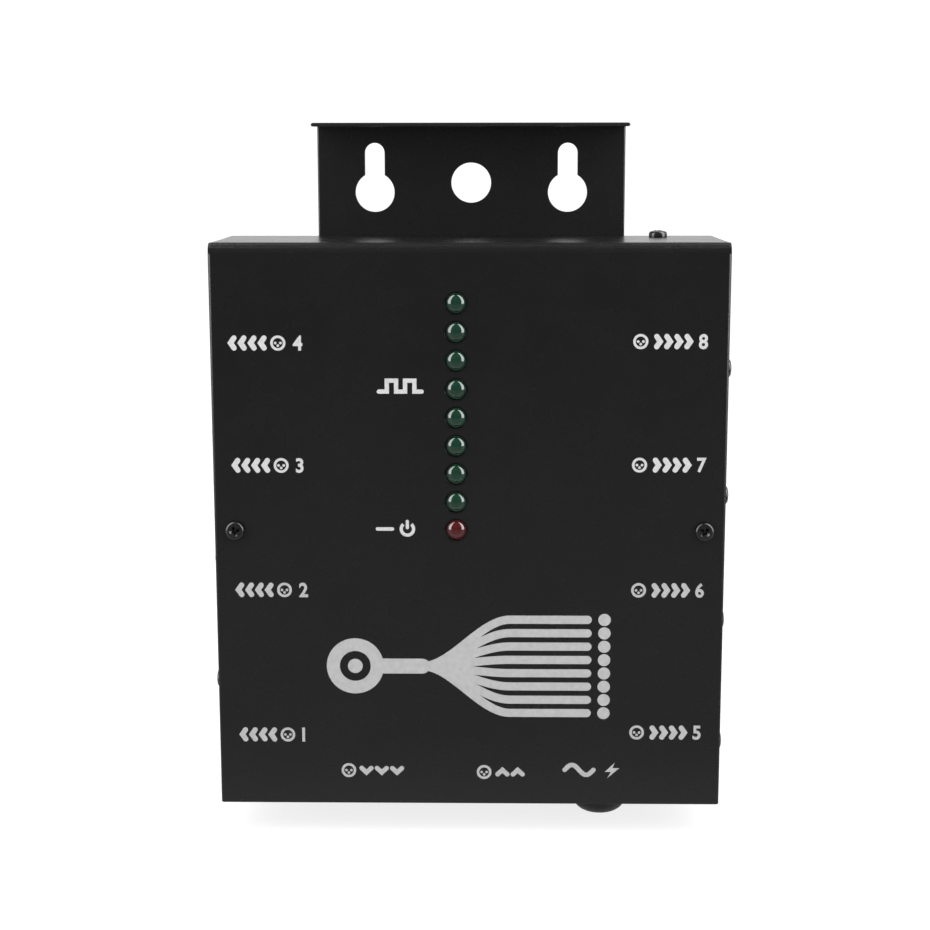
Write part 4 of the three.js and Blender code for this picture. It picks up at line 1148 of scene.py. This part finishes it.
def collar_flats(turn, radius, height):
    """Takes the round collar back to a hexagon with rounded corners."""
    flats = GLAND_FLAT_SHARE * GLAND_RADIUS
    if radius < flats:
        return 0
    step = pi / 3
    return max(0, radius - flats / cos(turn % step - step / 2))


def gland_body():
    bore, thread_radius, spigot = GLAND_BORE / 2, GLAND_THREAD / 2, GLAND_SPIGOT / 2
    end = -CHASSIS_SHEET - LOCKNUT_THICKNESS - FIT_GAP - GLAND_PITCH
    start = GLAND_THREAD_START - GLAND_THREAD_LENGTH
    points, height = thread(thread_radius, GLAND_THREAD_DEPTH, start, end, GLAND_PITCH)
    profile = [(bore, -GLAND_THREAD_LENGTH), (thread_radius - GLAND_CHAMFER, -GLAND_THREAD_LENGTH)] + points
    profile += [(thread_radius, height), (thread_radius, FIT_GAP), (GLAND_RADIUS, FIT_GAP)]
    profile += [(GLAND_RADIUS, COLLAR_TOP), (spigot, COLLAR_TOP), (spigot, SPIGOT_TOP), (bore, SPIGOT_TOP)]
    return shaded(turned(rounded(profile, GLAND_ROUND, 3), GLAND_SIDES, "gland_body_piece", collar_flats))


def gland_nut():
    bore, cavity = GLAND_BORE / 2, GLAND_SPIGOT / 2 + FIT_GAP
    bottom = COLLAR_TOP + FIT_GAP
    top = bottom + GLAND_NUT_HEIGHT
    middle = GLAND_RADIUS - GLAND_DOME
    last = degrees(acos((bore - middle) / GLAND_DOME))
    profile = [(cavity, bottom), (GLAND_RADIUS - NUT_CHAMFER, bottom), (GLAND_RADIUS, bottom + NUT_CHAMFER)]
    profile += arc((middle, top - GLAND_DOME), GLAND_DOME, 0, last - 4, DOME_RINGS)
    profile += [(bore + out, top - down) for out, down in NUT_LIP]
    profile += [(bore, top - GLAND_NUT_WALL), (cavity, top - GLAND_NUT_WALL)]
    return shaded(turned(profile, NUT_SIDES, "gland_nut_piece", nut_grip))


def gland_seal():
    bore, spigot = GLAND_BORE / 2, GLAND_SPIGOT / 2
    low = SPIGOT_TOP + FIT_GAP
    high = low + SEAL_THICKNESS
    profile = rounded([(bore, low), (spigot, low), (spigot, high), (bore, high)], SEAL_ROUND)
    return shaded(turned(profile, BODY_SIDES, "gland_seal_piece"))


def gland_locknut():
    top = -CHASSIS_SHEET - FIT_GAP
    hexagon = arc((0, 0), LOCKNUT_FLATS / 2 / cos(pi / 6), 0, 300, 5)
    locknut = prism(hexagon, top - LOCKNUT_THICKNESS, top, name="gland_locknut_piece")
    hole = rod(GLAND_THREAD + 2 * FIT_GAP, top - 2 * LOCKNUT_THICKNESS, OVERRUN)
    return softened(combined(locknut, [hole], "DIFFERENCE"), LOCKNUT_ROUND, 3)


def make_gland():
    for piece in (gland_body(), gland_nut(), gland_seal(), gland_locknut()):
        node = piece.name.removesuffix("_piece")
        look = "seal_rubber" if node == "gland_seal" else "gland_plastic"
        piece.matrix_world = frames["gland"]
        dressed(painted(piece, look), [node])


# Printing: plain marks and numbers in pale ink on the front
def add_ink(bm, outline, layer=0):
    """A thin layer of ink. Where shapes cross, each has a layer of its own."""
    add_prism(bm, outline, FRONT - INK_PROUD - layer * INK_STEP, FRONT + INK_SUNK, ALONG_Y)


def add_disc(bm, x, z, radius, sides=32):
    add_ink(bm, arc((x, z), radius, 0, 360 - 360 / sides, sides - 1))


def add_ring(bm, x, z, outer, inner, sides=48, start=0, end=360):
    """A ring, or part of one, as one closed strip."""
    closed = end - start >= 360
    rows = []
    for radius in (outer, inner):
        points = arc((x, z), radius, start, end, sides if closed else sides - 8)
        if closed:
            points = points[:-1]
        for y in (FRONT - INK_PROUD, FRONT + INK_SUNK):
            rows.append([bm.verts.new((u, y, v)) for u, v in points])
    count = len(rows[0])
    for a, b in ((0, 1), (1, 3), (3, 2), (2, 0)):
        for i in range(count if closed else count - 1):
            j = (i + 1) % count
            bm.faces.new((rows[a][i], rows[a][j], rows[b][j], rows[b][i]))
    if not closed:
        for i in (0, -1):
            bm.faces.new([rows[k][i] for k in (0, 1, 3, 2)])


def stroke_side(points, shift):
    """The line moved to one side, with its corners carried on to where the sides meet."""
    side = []
    ways = [(after - before).normalized() for before, after in zip(points, points[1:])]
    for i, here in enumerate(points):
        normals = [Vector((-way.y, way.x)) for way in ways[max(i - 1, 0):i + 1]]
        middle = sum(normals, Vector((0, 0))).normalized()
        side.append(tuple(here + middle * shift / middle.dot(normals[0])))
    return side


def add_stroke(bm, points, width, layer=0):
    """A line of even width with round ends."""
    half = width / 2
    points = [Vector(point) for point in points]
    first, last = points[1] - points[0], points[-1] - points[-2]
    start, end = (degrees(atan2(way.y, way.x)) for way in (first, last))
    outline = stroke_side(points, -half) + arc(points[-1], half, end - 90, end + 90, 10)[1:-1]
    outline += stroke_side(points, half)[::-1] + arc(points[0], half, start + 90, start + 270, 10)[1:-1]
    add_ink(bm, outline, layer)


def add_socket_sign(bm, x, z):
    """A round three pole socket: a ring with three dots."""
    radius = MARK_HEIGHT / 2
    add_ring(bm, x, z, radius, radius * SIGN_BORE_SHARE)
    reach = radius * SIGN_DOTS_SHARE
    for turn in CONTACT_TURNS:
        across, up = reach * cos(radians(turn)), reach * sin(radians(turn))
        add_disc(bm, x + across, z + up, radius * SIGN_DOT_SHARE, 16)


def add_chevrons(bm, x, z, towards, count, pitch, height, width):
    """Arrow heads in a row: towards is left, right, down or up."""
    ahead = (1 if towards in ("right", "up") else -1) * height * CHEVRON_SHARE / 2
    sideways = towards in ("left", "right")
    half = height / 2 if sideways else height * CHEVRON_SPREAD
    for i in range(count):
        middle = x + i * pitch
        points = [(middle - half, z - ahead), (middle, z + ahead), (middle + half, z - ahead)]
        if sideways:
            points = [(middle - ahead, z + half), (middle + ahead, z), (middle - ahead, z - half)]
        add_stroke(bm, points, width)


def add_number(bm, digit, x, z, height):
    """A plain number, its left edge at x and its middle at z."""
    curve = bpy.data.curves.new("number", "FONT")
    curve.body = str(digit)
    curve.offset = NUMBER_BOLDNESS
    curve.extrude = 0.5
    curve.resolution_u = 6
    source = new_object("number_source", curve)
    bpy.context.view_layer.update()
    graph = bpy.context.evaluated_depsgraph_get()
    mesh = bpy.data.meshes.new_from_object(source.evaluated_get(graph))
    xs = [vert.co.x for vert in mesh.vertices]
    ys = [vert.co.y for vert in mesh.vertices]
    scale = height / (max(ys) - min(ys))
    middle = (max(ys) + min(ys)) / 2
    for vert in mesh.vertices:
        across = x + (vert.co.x - min(xs)) * scale * NUMBER_WIDTH_SHARE
        depth = FRONT + INK_SUNK - (vert.co.z + 0.5) * (INK_PROUD + INK_SUNK)
        vert.co = Vector((across, depth, z + (vert.co.y - middle) * scale))
    bm.from_mesh(mesh)
    bpy.data.meshes.remove(mesh)
    drop(source)
    bpy.data.curves.remove(curve)


# A mark gets the darker tone of the ink, painted shade, unless it lies near the top
def inked(name, bm, look="ink_painted_shaded"):
    dressed(painted(made(bm, name), look))


def make_output_marks():
    """Socket sign, arrow heads towards the side and the output's number, eight times."""
    for number, (x, z) in OUTPUT_MARKS.items():
        bm = bmesh.new()
        towards = "left" if number <= OUTPUTS_PER_SIDE else "right"
        sign_x, arrows_x = OUTPUT_MARK_STEPS[towards]
        add_chevrons(bm, x * MM + arrows_x, z * MM, towards, *OUTPUT_CHEVRONS)
        add_socket_sign(bm, x * MM + sign_x, z * MM)
        add_number(bm, number, x * MM + NUMBER_STEP, z * MM, MARK_HEIGHT)
        # The upper four marks get the lighter tone of the ink as painted light, the lower four the darker
        # as painted shade
        inked(f"mark_output_{number}", bm, "ink_painted_lit" if number in OUTPUTS_WITH_PAINTED_LIGHT else "ink_painted_shaded")


def make_bottom_marks():
    for name, sign_x, arrows_x, z, towards, count in BOTTOM_MARKS:
        bm = bmesh.new()
        add_socket_sign(bm, sign_x * MM, z * MM)
        add_chevrons(bm, arrows_x * MM, z * MM, towards, count, *BOTTOM_CHEVRONS)
        inked(name, bm)
    bm = bmesh.new()
    x, z = WAVE_START
    wave = []
    for share in [i / WAVE_STEPS for i in range(WAVE_STEPS + 1)]:
        wave.append(((x + WAVE_LENGTH * share) * MM, (z + WAVE_HEIGHT * sin(2 * pi * share)) * MM))
    add_stroke(bm, wave, WAVE_LINE)
    add_ink(bm, [(x * MM, z * MM) for x, z in FLASH])
    inked("mark_power_inlet", bm)


def make_lamp_marks():
    # The lamp marks near the top get the lighter tone of the ink as painted light
    bm = bmesh.new()
    add_stroke(bm, [(x * MM, PULSE_LEVELS[up] * MM) for x, up in PULSE], PULSE_LINE)
    inked("mark_signal", bm, "ink_painted_lit")
    bm = bmesh.new()
    add_ring(bm, *SWITCH_RING, start=SWITCH_TURNS[0], end=SWITCH_TURNS[1])
    add_stroke(bm, SWITCH_BAR, SWITCH_LINE)
    add_stroke(bm, POWER_DASH, DASH_LINE)
    inked("mark_power", bm, "ink_painted_lit")


def make_branch_sign():
    """One line that fans out to eight: the generic picture of what the box does."""
    bm = bmesh.new()
    middle = BRANCH_MIDDLE * MM
    add_ring(bm, SOURCE_X, middle, *SOURCE_RING, 64)
    add_disc(bm, SOURCE_X, middle, SOURCE_DOT)
    add_stroke(bm, [(STEM_START, middle), (BRANCH_START * MM, middle)], STEM_LINE, BRANCHES + 1)
    for i in range(BRANCHES):
        z = BRANCH_MIDDLE + ((BRANCHES - 1) / 2 - i) * BRANCH_PITCH
        points = []
        for share in [k / BRANCH_STEPS for k in range(BRANCH_STEPS + 1)]:
            ease = share * share * (3 - 2 * share)
            x = BRANCH_START + BRANCH_SPREAD * share
            points.append((x * MM, (BRANCH_MIDDLE + (z - BRANCH_MIDDLE) * ease) * MM))
        add_stroke(bm, points + [(BRANCH_END, z * MM)], BRANCH_LINE, i + 1)
        add_disc(bm, BRANCH_DOT_X, z * MM, BRANCH_DOT)
    inked("mark_branches", bm)


# Pieces inside the case, which keep their own shapes
def mark_board_parts(node, axis, way):
    """Black for the chips and headers on a board, bright metal for the two fuse clips."""
    low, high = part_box(node.name)
    fuse_low, fuse_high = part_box("fuse")
    surface = (low if way > 0 else high)[axis] + way * (BOARD_SHEET + BOARD_MARGIN)
    for face in node.data.polygons:
        middle = node.matrix_world @ face.center
        if (middle[axis] - surface) * way < 0:
            continue
        at_fuse = all(fuse_low[i] - CLIP_REACH < middle[i] < fuse_high[i] + CLIP_REACH for i in (0, 2))
        face.material_index = 2 if at_fuse and node.name == "main_board" else 1


def dress_inner_nodes():
    for name, look in INNER_LOOKS.items():
        painted(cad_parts[name], look)
    for name, (axis, way) in BOARD_PARTS.items():
        mark_board_parts(painted(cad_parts[name], "board", "black_plastic", "tinned_legs"), axis, way)


# Camera, floor and light
def make_camera():
    level = cos(CAMERA_PITCH)
    forward = Vector((sin(CAMERA_YAW) * level, cos(CAMERA_YAW) * level, -sin(CAMERA_PITCH)))
    right = Vector((cos(CAMERA_YAW), -sin(CAMERA_YAW), 0))
    turn = Matrix.Rotation(-CAMERA_ROLL, 3, forward)
    axes = Matrix((turn @ right, turn @ right.cross(forward), -forward)).transposed()
    data = bpy.data.cameras.new("camera")
    data.sensor_width = SENSOR_WIDTH
    data.lens = FOCAL_PIXELS / IMAGE_SIZE * SENSOR_WIDTH
    data.shift_x = -HALF_PIXEL / IMAGE_SIZE
    data.shift_y = HALF_PIXEL / IMAGE_SIZE
    data.clip_start = 0.01
    camera = new_object("camera", data)
    camera.matrix_world = Matrix.Translation(CAMERA_PLACE) @ axes.to_4x4()
    bpy.context.scene.camera = camera


def paper():
    """Pale paper whose glow ends in white behind the object.

    Only rays that see the background get it, and reflections get less of it on the camera's side.
    """
    material, tree, node = new_material("paper")
    place = output_of(tree, "NewGeometry", {}, "Position")
    distance = output_of(tree, "VectorMath", {0: place}, "Value", "LENGTH")
    depth = output_of(tree, "SeparateXYZ", {"Vector": place}, "Y")
    rays = tree.nodes.new("ShaderNodeLightPath").outputs
    mirrored = combination(tree, "MAXIMUM", rays["Is Glossy Ray"], rays["Is Transmission Ray"])
    front = span(tree, depth, PAPER_FRONT_REACH, (PAPER_FRONT_SHARE, 1))
    mirrored = combination(tree, "MULTIPLY", mirrored, front)
    seen = combination(tree, "MAXIMUM", rays["Is Camera Ray"], mirrored)
    glow = span(tree, distance, PAPER_GLOW_REACH, (PAPER_GLOW_NEAR, PAPER_GLOW_FAR))
    fill(tree, node, {
        "Base Color": (PAPER_COLOUR, PAPER_COLOUR, PAPER_COLOUR, 1),
        "Roughness": 1,
        "Specular IOR Level": 0,
        "Emission Color": (1, 1, 1, 1),
        "Emission Strength": combination(tree, "MULTIPLY", seen, glow),
    })
    return material


def make_paper():
    """The floor, and the backdrop that stands behind the object."""
    material = paper()
    half = PAPER_SIZE / 2
    base = cad_low.z - FLOOR_DROP
    upright = (-half, base), (half, base), (half, half), (-half, half)
    corners = {
        "floor": [(-half, -half, base), (half, -half, base), (half, half, base), (-half, half, base)],
        "backdrop": [(x, BACKDROP_Y, z) for x, z in upright],
    }
    for name, points in corners.items():
        mesh = bpy.data.meshes.new(name)
        mesh.from_pydata(points, [], [(0, 1, 2, 3)])
        mesh.materials.append(material)
        new_object(name, mesh)


def make_world():
    """An even fill that reads as white behind the object."""
    world = bpy.data.worlds.new("studio")
    bpy.context.scene.world = world
    world.use_nodes = True
    tree = world.node_tree
    rays = tree.nodes.new("ShaderNodeLightPath").outputs
    seen = combination(tree, "MAXIMUM", rays["Is Camera Ray"], rays["Is Transmission Ray"])
    strength = span(tree, seen, (0, 1), (WORLD_FILL, 1))
    fill(tree, tree.nodes["Background"], {"Color": (1, 1, 1, 1), "Strength": strength})


def make_softbox(name, side, radiance, shine=False):
    """One leaning wall of light. Its narrow middle, a step in front, makes the highlights."""
    mirror = Vector((side, 1, 1))
    centre, along, upward = PANEL_CENTRE * mirror, PANEL_ALONG * mirror, PANEL_UPWARD * mirror
    data = bpy.data.lights.new(name, "AREA")
    data.shape = "RECTANGLE"
    data.size, data.size_y = PANEL_SIZE
    outward = side * along.cross(upward).normalized()
    if shine:
        centre = centre - outward * SHINE_STEP
        data.size = SHINE_SIZE
    data.energy = radiance * pi * data.size * data.size_y
    lamp = new_object(name, data)
    turn = Matrix((along.normalized(), outward.cross(along).normalized(), outward)).transposed()
    lamp.matrix_world = Matrix.Translation(centre) @ turn.to_4x4()
    lamp.visible_diffuse = not shine
    lamp.visible_glossy = shine


def make_lights():
    for side, name in zip(SIDES, ("left", "right")):
        make_softbox(f"softbox_{name}", side, PANEL_RADIANCE)
        make_softbox(f"shine_{name}", side, SHINE_RADIANCE[name], shine=True)


make_camera()
make_cover()
make_chassis()
make_case_screws()
make_lamps()
make_connectors()
make_gland()
make_output_marks()
make_bottom_marks()
make_lamp_marks()
make_branch_sign()
dress_inner_nodes()
make_paper()
make_world()
make_lights()

scene = bpy.context.scene
scene.view_settings.view_transform = "Standard"
